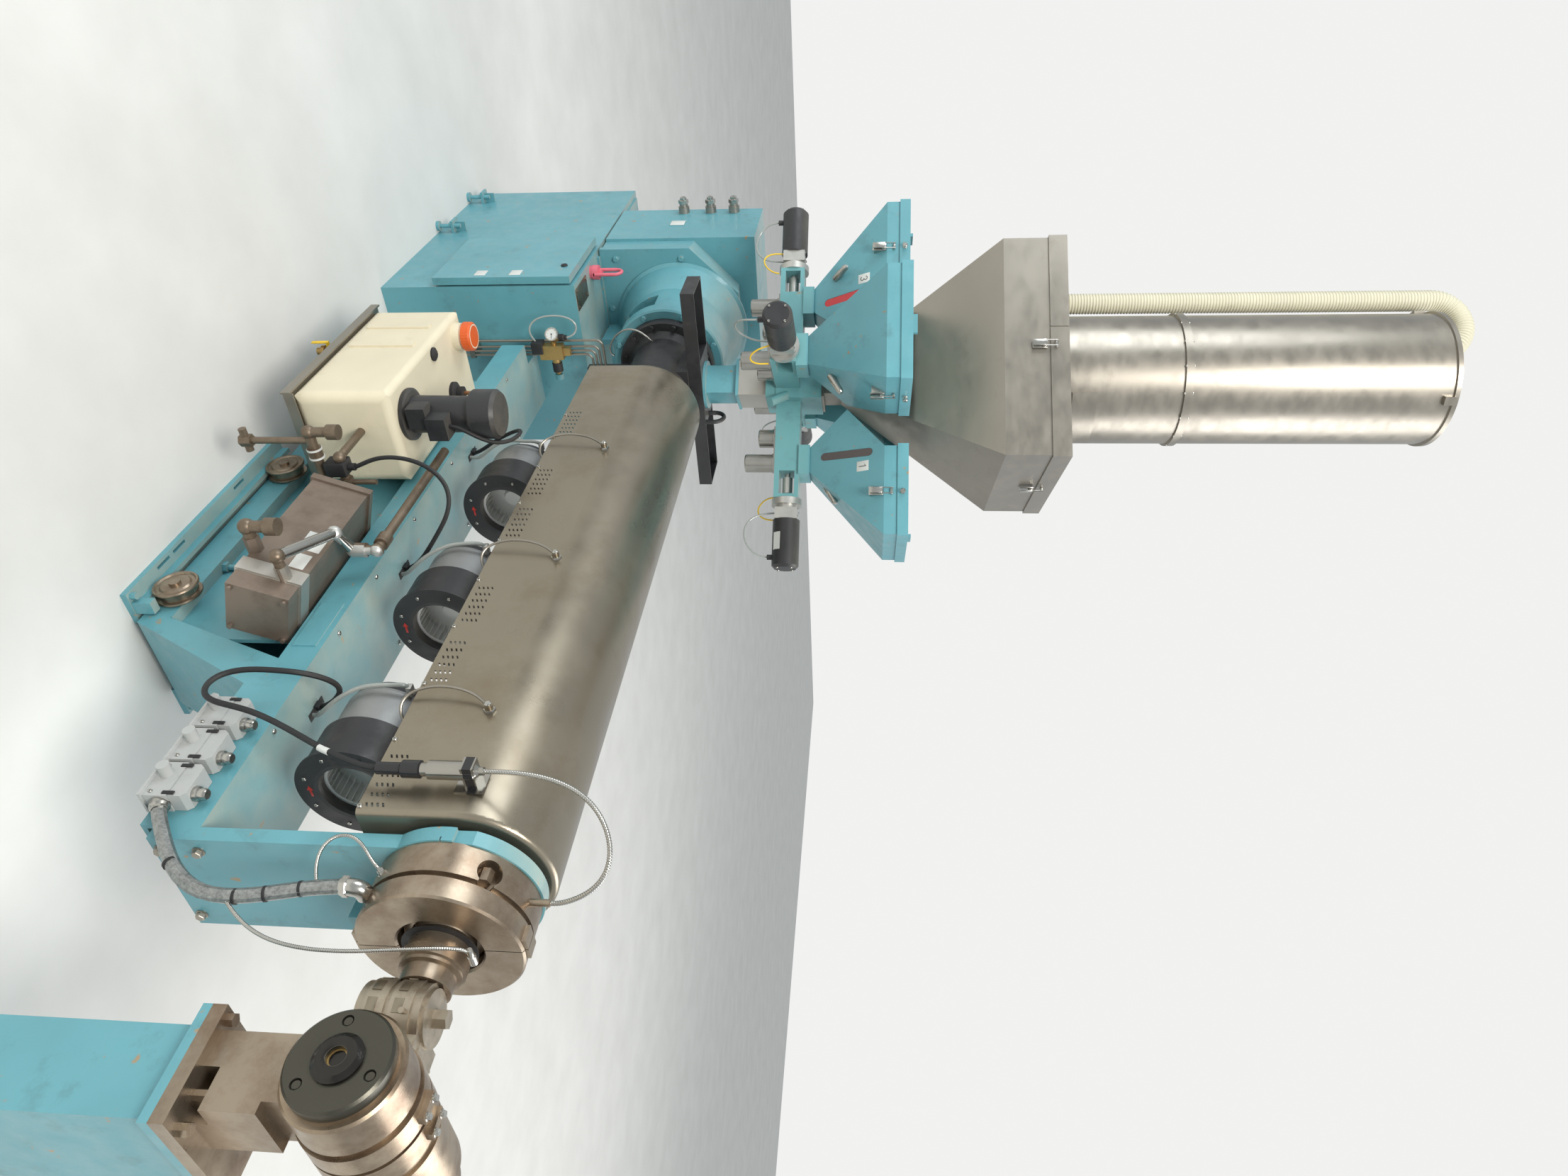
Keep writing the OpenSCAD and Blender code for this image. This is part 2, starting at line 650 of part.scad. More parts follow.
module barrel_cover() {
    color([0.62, 0.58, 0.52]) place() {
        difference() {
            cover_form(0, cover_bottom);
            cover_form(-cover_t, cover_bottom - 5);
            cx(cover_x0 - 1, cover_x0 + 10, 0, axis_h, feed_body_r + 2, big_facets);
            cx(cover_x1 - 14, cover_x1 + 1, 0, axis_h, barrel_r + 8, big_facets);
            bx([cover_x1 - 14, -barrel_r, cover_bottom - 1], [cover_x1 + 1, barrel_r, axis_h]);
            cover_slots(-cover_r - 1, -cover_r + cover_t + 1);
            cover_slots(cover_r - cover_t - 1, cover_r + 1);
        }
        for (x = thermo_x) {
            cy(x, -cover_r - 18, -cover_r + 1, axis_h - 6, 9, 24);
        }
    }
}

module fan_housings() {
    color([0.08, 0.08, 0.08]) place() {
        for (i = fans) {
            x1 = fan_x - i * fan_pitch;
            difference() {
                union() {
                    turned([[0, x1 - fan_depth], [fan_r - 7, x1 - fan_depth], [fan_r - 7, x1 - 5],
                        [fan_r, x1 - 5], [fan_r, x1], [0, x1]], fan_z);
                    bx([x1 - fan_depth, -60, fan_z], [x1 - 8, 60, axis_h - barrel_r + 6]);
                }
                turned([[0, x1 - fan_depth + fan_wall], [fan_r - 7 - fan_wall, x1 - fan_depth + fan_wall],
                    [fan_r - 7 - fan_wall, x1 - fan_wall], [fan_mouth_r + 12, x1 - fan_wall],
                    [fan_mouth_r + 12, x1 + 1], [0, x1 + 1]], fan_z);
                cx(x1 - fan_depth - 1, x1, 0, fan_z, fan_hole_r);
                bx([x1 - fan_depth + fan_wall, -60 + fan_wall, fan_z + 20],
                    [x1 - 8 - fan_wall, 60 - fan_wall, axis_h]);
                cx(x1 - fan_depth - 1, x1 + 1, 0, axis_h, barrel_r, big_facets);
            }
            turned([[fan_mouth_r + 13, x1 - 4], [fan_mouth_r + 13, x1], [fan_mouth_r + 3, x1 - 1],
                [fan_mouth_r, x1 - 8], [fan_mouth_r, x1 - 22], [fan_mouth_r + 2, x1 - 22],
                [fan_mouth_r + 2, x1 - 9], [fan_mouth_r + 5, x1 - 4]], fan_z);
        }
    }
}

module fan_motors() {
    color([0.6, 0.6, 0.6]) place() {
        for (i = fans) {
            x1 = fan_x - i * fan_pitch - fan_depth;
            turned([[0, x1 - fan_motor_len - 72], [fan_motor_r * 0.45, x1 - fan_motor_len - 68],
                [fan_motor_r * 0.8, x1 - fan_motor_len - 46], [fan_motor_r * 0.96, x1 - fan_motor_len - 18],
                [fan_motor_r, x1 - fan_motor_len], [fan_motor_r, x1], [shaft_r, x1],
                [shaft_r, x1 + fan_wall + 12], [0, x1 + fan_wall + 12]], fan_z);
        }
    }
}

module fan_baskets() {
    color([0.5, 0.5, 0.5]) place() {
        for (i = fans) {
            x0 = fan_x - i * fan_pitch - fan_depth + fan_wall + 12;
            wheel_l = fan_depth - fan_wall - 12 - 24;
            turned([[0, x0], [30, x0], [34, x0 + 4], [fan_mouth_r + 10, x0 + 4], [fan_mouth_r + 10, x0 + 8],
                [30, x0 + 8], [24, x0 + 20], [0, x0 + 20]], fan_z);
            turned([[fan_mouth_r - 5, x0 + wheel_l - 3], [fan_mouth_r + 10, x0 + wheel_l - 3],
                [fan_mouth_r + 10, x0 + wheel_l], [fan_mouth_r - 5, x0 + wheel_l]], fan_z);
            translate([x0 + 7, 0, fan_z]) rotate([0, 90, 0]) linear_extrude(height = wheel_l - 9)
                for (k = [0 : fan_blades - 1]) {
                    rotate(k * 360 / fan_blades) translate([fan_mouth_r - 4, 0]) rotate(28)
                        square([13, 1.6]);
                }
        }
    }
}

module front_support() {
    color([0.36, 0.66, 0.68]) place() {
        difference() {
            union() {
                bx([-support_t, -deck_hw, deck_h - 90], [0, deck_hw, axis_h]);
                cx(-support_t, 0, 0, axis_h, support_r, big_facets);
            }
            cx(-support_t - 1, 1, 0, axis_h, barrel_r, big_facets);
            bx([-8, -deck_hw - 30, axis_h - 4], [1, -deck_hw + 8, axis_h - 1]);
            for (s = sides) {
                bx([-support_t - 1, s > 0 ? 148 : -170, axis_h + 20], [1, s > 0 ? 170 : -148, axis_h + 62]);
            }
        }
        bx([-1, 20, axis_h - 208], [46, 118, axis_h - 172]);
    }
}

module head_flange() {
    color([0.5, 0.47, 0.43]) place() {
        difference() {
            union() {
                cx(0, 62, 0, axis_h, head_r, big_facets);
                cx(61, ring_x0, 0, axis_h, head_r - 12, big_facets);
            }
            for (a = [52, 172, 292]) {
                translate([38, 0, axis_h]) rotate([a, 0, 0]) {
                    translate([0, 0, head_r - 30]) cylinder(h = 40, r = 24);
                    bx([0, -15, head_r - 26], [40, 15, head_r + 5]);
                }
            }
        }
        for (a = [52, 172, 292]) {
            translate([0, 0, axis_h]) rotate([a, 0, 0]) translate([24, 0, head_r - 20])
                rotate([0, 90, 0]) cylinder(h = 26, r = 13, $fn = 6);
        }
        cz(35, -34, axis_h + 100, axis_h + 186, 7, 24);
    }
}

module clamp_ring() {
    color([0.48, 0.43, 0.38]) place() {
        for (s = sides) {
            difference() {
                union() {
                    turned([[neck_r + 22, ring_x0], [head_r, ring_x0], [head_r, ring_x1 - 4],
                        [head_r - 4, ring_x1], [neck_r + 26, ring_x1], [neck_r + 22, ring_x1 - 4]], axis_h);
                    bx([ring_x0 + 4, -26, axis_h + head_r - 18], [ring_x1 - 6, 26, axis_h + head_r + 6]);
                    bx([ring_x0 + 4, -26, axis_h - head_r - 6], [ring_x1 - 6, 26, axis_h - head_r + 18]);
                }
                bx([ring_x0 - 1, s > 0 ? -head_r - 1 : -1, axis_h - 200],
                    [ring_x1 + 1, s > 0 ? 1 : head_r + 1, axis_h + 200]);
            }
        }
    }
}

module adapter_neck() {
    color([0.42, 0.39, 0.36]) place() {
        valve_face = valve_x - valve_r + 8;
        turned([[0, ring_x0], [neck_r + 18, ring_x0], [neck_r + 18, ring_x0 + 18],
            [neck_r + 4, ring_x0 + 22],
            [neck_r, ring_x0 + 30], [neck_r, ring_x1 + 22], [neck_r + 5, ring_x1 + 24],
            [neck_r + 5, ring_x1 + 44], [neck_r, ring_x1 + 46], [neck_r, ring_x1 + 52],
            [neck_r - 8, ring_x1 + 54], [neck_r - 8, valve_face], [0, valve_face]], axis_h);
    }
}

module valve_block() {
    color([0.55, 0.52, 0.48]) place() {
        difference() {
            union() {
                cz(valve_x, 0, axis_h - 80, axis_h + 31, valve_r);
                cz(valve_x, 0, axis_h - 66, axis_h - 30, valve_r + 4);
                cz(valve_x, 0, axis_h - 22, axis_h + 16, valve_r + 4);
                cz(valve_x, 0, axis_h + 30, axis_h + 38, valve_r - 8);
                bx([valve_x, -32, axis_h - 32], [die_x - 60, 32, axis_h + 32]);
                bx([valve_x + 30, -11, axis_h + 10], [valve_x + 84, 60, axis_h + 34]);
                cy(valve_x + 57, -22, 70, axis_h + 22, 9, 24);
            }
            cy(die_x, -100, 100, axis_h, die_r + 15.3, big_facets);
            cx(ring_x1, valve_x - valve_r + 8, 0, axis_h, neck_r - 7.9);
        }
        cz(valve_x, 0, axis_h + 37, axis_h + 62, 17, 6);
        for (a = [-70, -35]) {
            translate([valve_x, 0, axis_h + 6]) rotate([0, 0, a]) rotate([0, 90, 0])
                cylinder(h = valve_r + 15, r = 5, $fn = 24);
        }
    }
}

module die_body() {
    color([0.45, 0.4, 0.36]) place() {
        r = die_r + 12;
        difference() {
            translate([die_x, 0, axis_h]) rotate([-90, 0, 0]) rotate_extrude($fn = big_facets)
                polygon([[0, die_y], [die_r - 4, die_y], [die_r, die_y + 4], [die_r, die_y + 26],
                    [r - 4, die_y + 26], [r, die_y + 30], [r, die_y + 96], [r - 5, die_y + 96],
                    [r - 5, die_y + 108], [r + 3, die_y + 108], [r + 3, die_y + 150], [r - 5, die_y + 150],
                    [r - 5, die_y + 158], [r + 3, die_y + 158], [r + 3, die_y + 200], [r - 5, die_y + 200],
                    [r - 5, die_y + 226], [r, die_y + 226], [r, die_rear - 60], [r - 14, die_rear - 60],
                    [r - 14, die_rear], [0, die_rear]]);
            cy(die_x, die_y - 1, die_y + 60, axis_h, 15);
            for (a = [20, 140, 260]) {
                translate([die_x, die_y - 1, axis_h]) rotate([0, a, 0]) translate([0, 0, die_r - 20])
                    rotate([-90, 0, 0]) cylinder(h = 9, r = 9);
            }
        }
        difference() {
            translate([die_x, 0, axis_h]) rotate([-90, 0, 0]) rotate_extrude()
                polygon([[14, die_y - 10], [30, die_y - 10], [38, die_y - 4],
                    [38, die_y + 1], [14, die_y + 1]]);
            cy(die_x, die_y - 11, die_y + 2, axis_h, 15);
        }
        for (a = [20, 140, 260]) {
            translate([die_x, die_y + 9, axis_h]) rotate([0, a, 0]) translate([0, 0, die_r - 20])
                rotate([90, 0, 0]) cylinder(h = 7, r = 6.5, $fn = 24);
        }
        for (y = [die_y + 120, die_y + 170], z = [axis_h + r + 7]) {
            bx([die_x - 22, y, z - 12], [die_x + 22, y + 18, z + 6]);
        }
    }
}

module die_seat() {
    color([0.42, 0.36, 0.31]) place() {
        top = axis_h - die_r;
        difference() {
            union() {
                bx([die_x - 50, die_y + 30, ped_top + 39], [die_x + 70, die_y + 104, top + 20]);
                bx([die_x - 50, die_y + 103, ped_top + 39], [die_x + 70, die_y + 150, top + 20]);
            }
            cy(die_x, die_y + 20, die_y + 105, axis_h, die_r + 12, big_facets);
            cy(die_x, die_y + 104, die_rear, axis_h, die_r + 15.3, big_facets);
            bx([die_x + 6, die_y + 20, ped_top + 38], [die_x + 72, die_y + 72, ped_top + 66]);
            bx([die_x + 52, die_y + 20, top - 22], [die_x + 72, die_y + 160, top + 25]);
        }
        bx([die_x - 80, die_y + 10, ped_top + 16], [die_x + 100, die_y + 260, ped_top + 40]);
        cz(die_x + 40, die_y + 48, ped_top + 39, ped_top + 62, 9, 6);
        cz(die_x - 66, die_y + 30, ped_top + 39, ped_top + 52, 11, 6);
        cz(die_x + 84, die_y + 60, ped_top + 39, ped_top + 52, 11, 6);
    }
}

module die_pedestal() {
    color([0.36, 0.66, 0.68]) place() {
        bx([die_x - 80, die_y + 10, ped_top], [die_x + 100, die_y + 260, ped_top + 16]);
        difference() {
            bx([die_x - 50, die_y + 20, 20], [die_x + 90, die_y + 250, ped_top + 1]);
            bx([die_x - 42, die_y + 28, 19], [die_x + 82, die_y + 242, ped_top - 8]);
        }
        bx([die_x - 150, die_y - 60, 0], [die_x + die_foot, die_y + 330, 21]);
        for (y = [die_y + 50, die_y + 210]) {
            side_plate([[die_x + 89, 20], [die_x + 160, 20], [die_x + 89, 160]], y, y + 10);
        }
    }
}

// Tapered part of the main hopper between two heights, walls moved in by g.
module hop_cone(g) {
    a = hop_a - g;
    b = hop_b - g;
    c = hop_out - g;
    z0 = hop_cone_z - (g > 0 ? 1 : 0);
    polyhedron(points = [[-a, -b, hop_z0], [a, -b, hop_z0], [a, b, hop_z0], [-a, b, hop_z0],
            [-c, -c, z0], [c, -c, z0], [c, c, z0], [-c, c, z0]],
        faces = [[3, 2, 1, 0], [4, 5, 6, 7], [0, 1, 5, 4], [1, 2, 6, 5], [2, 3, 7, 6], [3, 0, 4, 7]]);
}

module main_hopper() {
    color([0.66, 0.64, 0.61]) station() {
        difference() {
            union() {
                bx([-hop_a, -hop_b, hop_z0], [hop_a, hop_b, hop_z1 + hop_lid_h - 8]);
                hop_cone(0);
                bx([-hop_out, -hop_out, core_top], [hop_out, hop_out, hop_cone_z]);
                bx([-hop_out - 18, -hop_out - 18, core_top], [hop_out + 18, hop_out + 18, core_top + 8]);
            }
            bx([-hop_a + 4, -hop_b + 4, hop_z0 - 0.5], [hop_a - 4, hop_b - 4, hop_z2]);
            hop_cone(4);
            bx([-hop_out + 4, -hop_out + 4, core_top - 5], [hop_out - 4, hop_out - 4, hop_cone_z]);
        }
    }
}

module hopper_lid() {
    color([0.7, 0.68, 0.65]) station() {
        difference() {
            bx([-hop_a - 6, -hop_b - 6, hop_z1], [hop_a + 6, hop_b + 6, hop_z2]);
            bx([-hop_a, -hop_b, hop_z1 - 1], [hop_a, hop_b, hop_z2 - 8]);
            cz(load_x, 0, hop_z1, hop_z2 + 1, 150, big_facets);
            bx([-58, -hop_b - 7, hop_z1 - 1], [-55, -hop_b - 3, hop_z2 + 1]);
        }
    }
}

// Turned shell of the loader about its own axis, from pairs of radius and height.
module loader_shell(pts) {
    translate([load_x, 0, 0]) rotate_extrude($fn = big_facets) polygon(pts);
}

module loader_cylinder() {
    color([0.66, 0.64, 0.61]) station() {
        loader_shell([[150, hop_z2], [load_r + 12, hop_z2], [load_r + 12, hop_z2 + 6], [load_r, hop_z2 + 8],
            [load_r, load_band_z - 14], [load_r + 8, load_band_z - 12], [load_r + 8, load_band_z],
            [load_r - 60, load_band_z], [load_r - 60, load_band_z - 4], [load_r - 4, load_band_z - 4],
            [load_r - 4, hop_z2 + 4], [150, hop_z2 + 4]]);
        difference() {
            intersection() {
                cz(load_x, 0, hop_z2 + 32, hop_z2 + 112, load_r + 9, big_facets);
                bx([load_x + 118, -load_r - 20, hop_z2], [load_x + 300, 0, hop_z2 + 200]);
            }
            cz(load_x, 0, hop_z2 + 20, hop_z2 + 130, load_r - 0.5, big_facets);
        }
    }
}

module loader_top() {
    color([0.66, 0.64, 0.61]) station() {
        loader_shell([[load_r - 60, load_band_z], [load_r + 8, load_band_z], [load_r + 8, load_band_z + 12],
            [load_r, load_band_z + 14], [load_r, load_top - 12], [load_r + 7, load_top - 10],
            [load_r + 7, load_top + 4], [load_r - 8, load_top + 10], [load_r - 40, load_top + 26],
            [0, load_top + 26], [0, load_top - 4], [load_r - 4, load_top - 4],
            [load_r - 4, load_band_z + 4], [load_r - 60, load_band_z + 4]]);
        for (a = [70, 190, 310]) {
            translate([load_x, 0, 0]) rotate([0, 0, a])
                bx([load_r - 2, -14, load_top - 40], [load_r + 14, 14, load_top - 6]);
        }
    }
}

module loader_hose() {
    color([0.85, 0.83, 0.7]) station() {
        translate([load_x - load_r - 70, 0, 0]) {
            cz(0, 0, hop_z2, hose_z + 1, hose_r, 24);
            translate([hose_bend, 0, hose_z]) rotate([90, 0, 0]) rotate_extrude(angle = 180)
                translate([hose_bend, 0]) circle(r = hose_r - 2, $fn = 16);
            cz(2 * hose_bend, 0, load_top + 26, hose_z + 1, hose_r, 24);
        }
    }
}

// True on the long arms of the dosing station.
function long_arm(a) = a % 180 == 0;

// Outer end of the hopper on the arm at angle a.
function arm_d(a) = long_arm(a) ? dose_long : dose_short;

// Start of the outlet of the hopper on the arm at angle a.
function arm_out(a) = arm_d(a) - dose_len + (long_arm(a) ? -35 : 1);

// End of the drive on the arm at angle a.
function drive_end(a) = arm_d(a) + (long_arm(a) ? 78 : 45);

// Tapered part of a dosing hopper on the arm at angle a, walls moved in by g.
module dose_cone(a, g) {
    r0 = arm_d(a) - dose_len + g;
    r1 = arm_d(a) - g;
    w = dose_hw - g;
    v = dose_out - g;
    m = arm_d(a) - dose_len - (long_arm(a) ? 150 : 105) + 1.4 * g;
    wm = v + (w - v) * (dose_mid - dose_z0) / dose_cone_h;
    o0 = arm_out(a) + g;
    o1 = arm_out(a) + 77 - g;
    zb = dose_z0 - (g > 0 ? 1 : 0);
    polyhedron(points = [[r0, -w, dose_z1], [r1, -w, dose_z1], [r1, w, dose_z1], [r0, w, dose_z1],
            [m, -wm, dose_mid], [m, wm, dose_mid],
            [o0, -v, zb], [o1, -v, zb], [o1, v, zb], [o0, v, zb]],
        faces = [[3, 2, 1, 0], [6, 7, 8, 9], [1, 2, 8, 7], [0, 4, 5, 3], [4, 6, 9, 5],
            [0, 1, 7, 6, 4], [2, 3, 5, 9, 8]]);
}

// Slot with round ends from p to q in the XZ plane, cut from y0 to y1.
module slot(p, q, y0, y1) {
    n = norm(q - p);
    t = [q[1] - p[1], p[0] - q[0]] * 14 / n;
    side_plate([p + t, q + t, q - t, p - t], y0, y1);
    cy(p[0], y0, y1, p[1], 14, 24);
    cy(q[0], y0, y1, q[1], 14, 24);
}

module dosing_hoppers() {
    color([0.36, 0.66, 0.68]) station() {
        for (a = arms) {
            d = arm_d(a);
            rotate([0, 0, a]) difference() {
                union() {
                    bx([d - dose_len, -dose_hw, dose_z1], [d, dose_hw, dose_z2]);
                    dose_cone(a, 0);
                    bx([arm_out(a) - 12, -dose_out - 10, dose_z0],
                        [arm_out(a) + 89, dose_out + 10, dose_z0 + 5]);
                }
                dose_cone(a, dose_wall);
                bx([d - dose_len + dose_wall, -dose_hw + dose_wall, dose_z1 - 1],
                    [d - dose_wall, dose_hw - dose_wall, dose_z2 + 1]);
                if (long_arm(a)) {
                    x = d - (a == 0 ? 288 : 310);
                    y0 = a == 0 ? -dose_hw - 2 : 20;
                    difference() {
                        slot([x + 5, dose_z1 - 52], [x - 4, dose_z1 - 198], y0, y0 + dose_hw - 18);
                        dose_cone(a, 2);
                    }
                }
            }
        }
    }
}

module dosing_lids() {
    color([0.4, 0.7, 0.72]) station() {
        for (a = arms) {
            d = arm_d(a);
            rotate([0, 0, a]) {
                difference() {
                    bx([d - dose_len - 6, -dose_hw - 6, dose_z2], [d + 6, dose_hw + 6, dose_top]);
                    bx([d - dose_len + dose_wall, -dose_hw + dose_wall, dose_z2 - 1],
                        [d - dose_wall, dose_hw - dose_wall, dose_top - dose_wall]);
                }
                bx([d - 40, -30, dose_top - 1], [d - 28, 30, dose_top + 14]);
            }
        }
    }
}

module dosing_frame() {
    color([0.36, 0.66, 0.68]) station() {
        bx([-62, -62, throat_z1], [62, 62, block_z1]);
        bx([-76, -76, block_z1 - 1], [76, 76, dose_axis - 43]);
        difference() {
            bx([-80, -80, dose_axis - 44], [80, 80, core_top]);
            bx([-40, -40, dose_axis + 50], [40, 40, core_top + 1]);
        }
        for (a = arms) {
            r_end = drive_end(a) - 240;
            rotate([0, 0, a]) {
                difference() {
                    bx([79, -45, dose_axis - 43], [r_end, 45, dose_axis + 40]);
                    bx([r_end - 92, -46, dose_axis - 26], [r_end - 12, 46, dose_axis + 26]);
                    cx(r_end - 13, r_end + 1, 0, dose_axis, 9, 24);
                }
                bx([arm_out(a) - 12, -dose_out - 10, dose_axis + 39],
                    [arm_out(a) + 89, dose_out + 10, dose_z0]);
            }
        }
        rotate([0, 0, -45]) translate([92, 0, dose_axis - 4]) rotate([0, 132, 0])
            cylinder(h = 82, r = 16);
    }
}

module dosing_gearheads() {
    color([0.6, 0.6, 0.58]) station() {
        for (a = arms) {
            e = drive_end(a);
            rotate([0, 0, a]) {
                cx(e - 332, e - 239, 0, dose_axis, 9, 24);
                cx(e - 318, e - 262, 0, dose_axis, 17, 32);
                cx(e - 240, e - 218, 0, dose_axis, dose_motor_r + 6);
                cx(e - 219, e - 206, 0, dose_axis, dose_motor_r - 8);
                bx([e - 207, -38, dose_axis - 38], [e - 168, 38, dose_axis + 38]);
            }
        }
    }
}

module dosing_motors() {
    color([0.1, 0.1, 0.1]) station() {
        for (a = arms) {
            e = drive_end(a);
            rotate([0, 0, a]) {
                turned([[0, e - 168], [dose_motor_r, e - 168], [dose_motor_r, e - 10],
                    [dose_motor_r - 9, e], [0, e]], dose_axis);
                cz(e - 40, 0, dose_axis - dose_motor_r - 16, dose_axis - dose_motor_r + 6, 9, 24);
            }
        }
    }
}

module sample_cups() {
    color([0.7, 0.7, 0.68]) station() {
        for (a = arms) {
            d = arm_d(a) - dose_len;
            top = dose_axis - 43;
            rotate([0, 0, a]) {
                bx([d - 118, -40, top - 5], [d + 36, 40, top]);
                for (c = [[d + 2, 105], [d - 87, 60]]) {
                    translate([c[0], 0, 0]) rotate_extrude()
                        polygon([[0, top - c[1]], [29, top - c[1]], [31, top - c[1] + 3], [31, top - 12],
                            [34, top - 11], [34, top - 4], [0, top - 4]]);
                }
            }
        }
    }
}

module water_tank() {
    color([0.86, 0.84, 0.74]) place() {
        intersection() {
            translate([0, 0, tank_z0]) linear_extrude(height = tank_h)
                round_rect([tank_x0, tank_y0], [tank_x1, tank_y1], tank_edge + 6);
            translate([0, tank_y1, 0]) rotate([90, 0, 0]) linear_extrude(height = tank_w)
                round_rect([tank_x0, tank_z0], [tank_x1, tank_top], tank_edge);
            translate([tank_x0, 0, 0]) rotate([90, 0, 90]) linear_extrude(height = tank_len)
                round_rect([tank_y0, tank_z0], [tank_y1, tank_top], tank_edge - 4);
        }
        for (x = [tank_x0 + 120, tank_x0 + 250]) {
            bx([x, tank_y0 - 5, tank_z0 + 30], [x + 26, tank_y0 + 6, tank_top - 40]);
        }
        translate([tank_x0 + 62, tank_y0 + 62, 0]) rotate_extrude()
            polygon([[0, tank_top - 2], [42, tank_top - 2], [40, tank_top + 22], [36, tank_top + 24],
                [36, tank_top + 30], [41, tank_top + 30], [42, tank_top + 52], [36, tank_top + 58],
                [0, tank_top + 58]]);
    }
}

module tank_tray() {
    color([0.55, 0.6, 0.6]) place() {
        bx([tank_x0 - 10, tank_y0 - 10, tray_z], [tank_x1 + 14, tank_y1 + 2, tank_z0]);
        bx([tank_x1 + 12, tank_y0 - 10, tray_z], [tank_x1 + 16, tank_y1 + 2, tank_z0 + 16]);
        bx([tank_x0 - 10, tank_y0 - 14, tray_z - 6], [tank_x1 + 16, tank_y0 - 9, tank_z0 + 8]);
        for (x = [tank_x1 - 460, tank_x1 - 120]) {
            bx([x, tank_y0 + 30, tray_z - 30], [x + 40, -120, tray_z + 1]);
        }
    }
}

module tank_pump() {
    color([0.1, 0.1, 0.1]) place() {
        translate([pump_x, pump_y, 0]) rotate_extrude($fn = big_facets)
            polygon([[0, tank_top], [70, tank_top], [72, tank_top + 4], [72, tank_top + 12],
                [64, tank_top + 16], [52, tank_top + 18], [50, tank_top + 150], [50, tank_top + 186],
                [66, tank_top + 188], [68, tank_top + 192], [68, tank_top + 252], [60, tank_top + 262],
                [0, tank_top + 264]]);
        bx([pump_x + 40, pump_y - 30, tank_top + 84], [pump_x + 92, pump_y + 34, tank_top + 138]);
        bx([pump_x + 30, pump_y - 54, tank_top + 30], [pump_x + 78, pump_y + 6, tank_top + 82]);
    }
}

module heat_exchanger() {
    color([0.45, 0.38, 0.33]) place() {
        translate([0, -198, deck_h - 145]) rotate([-20, 0, 0]) {
            bx([exch_x0, -68, -70], [exch_x1 - 66, 68, 70]);
            bx([exch_x0 + 6, -74, -76], [exch_x0 + 26, 74, 76]);
            bx([exch_x1 - 160, -73, -75], [exch_x1 - 118, 73, 75]);
            for (y = [-58, 58], z = [-60, 60]) {
                cx(exch_x0 - 6, exch_x1 - 58, y, z, 6, 16);
            }
        }
        for (x = [exch_x0 + 60, exch_x1 - 250]) {
            bx([x, -165, deck_h - 190], [x + 40, -100, deck_h - 150]);
        }
        cy(port_a[0], -285, -220, deck_h - port_a[1], 16, 6);
        cy(port_b[0], -318, -240, deck_h - port_b[1], 18, 6);
    }
}

// Round bar between two points.
module rod(p, q, r, f = 24) {
    v = q - p;
    translate(p) rotate([0, acos(v[2] / norm(v)), atan2(v[1], v[0])]) cylinder(h = norm(v), r = r, $fn = f);
}

// Pipe along a route, with a round fitting at every corner.
module pipe_run(pts, r) {
    for (i = [0 : len(pts) - 2]) {
        rod(pts[i], pts[i + 1], r);
    }
    for (i = [1 : len(pts) - 2]) {
        translate(pts[i]) sphere(r = r + 5, $fn = 24);
    }
}

module water_pipes() {
    color([0.5, 0.38, 0.28]) place() {
        zp = deck_h + 35;
        xt = tank_x1 + 140;
        z3 = tank_z0 + 103;
        pipe_run([[tank_x1 - 70, -200, zp], [-826, -200, zp], [-826, -200, zp - 60],
            [-800, -268, deck_h - 40], [port_a[0], -312, deck_h - port_a[1]],
            [port_a[0], -285, deck_h - port_a[1]]], 12);
        cx(-884, -850, -200, zp, 18);
        cz(-826, -200, zp - 60, zp - 26, 18);
        pipe_run([[port_b[0], -345, deck_h - port_b[1] + 75], [port_b[0], -345, deck_h - port_b[1]],
            [port_b[0], -318, deck_h - port_b[1]]], 14);
        cz(port_b[0], -345, deck_h - port_b[1] + 48, deck_h - port_b[1] + 76, 21);
        pipe_run([[xt, -374, z3 + 80], [xt, -374, z3], [xt, -100, z3]], 13);
        cz(xt, -374, z3 + 52, z3 + 81, 20);
        cy(xt, -330, -300, z3, 18);
        cy(xt, -250, -205, z3, 19, 6);
        cy(xt, -190, -160, z3, 18);
        pipe_run([[tank_x1, -300, z3 + 60], [xt, -300, z3 + 60], [xt, -100, z3 + 60]], 11);
        cy(xt, -240, -200, z3 + 60, 17, 6);
        cz(xt, -226, z3 + 60, z3 + 140, 7, 24);
        cz(xt, -350, z3 - 168, z3, 9, 24);
        cz(xt, -350, z3 - 190, z3 - 160, 17, 6);
        cy(xt, -384, -320, z3 - 176, 10, 24);
    }
}

module tube_bundle() {
    color([0.6, 0.58, 0.54]) place() {
        for (i = [0, 1, 2, 3]) {
            cz(tube_x, tube_y[i], 262, tube_z[i] - tube_bend + 0.5, tube_r, 16);
            translate([tube_x, tube_y[i] + tube_bend, tube_z[i] - tube_bend]) rotate([0, -90, 0])
                rotate([0, 0, -90]) rotate_extrude(angle = 90)
                    translate([tube_bend, 0]) circle(r = tube_r - 0.4, $fn = 12);
            cy(tube_x, tube_y[i] + tube_bend - 0.5, -30, tube_z[i], tube_r, 16);
        }
        bx([cab_x1, -140, 300], [tube_x + 6, -66, 318]);
    }
}

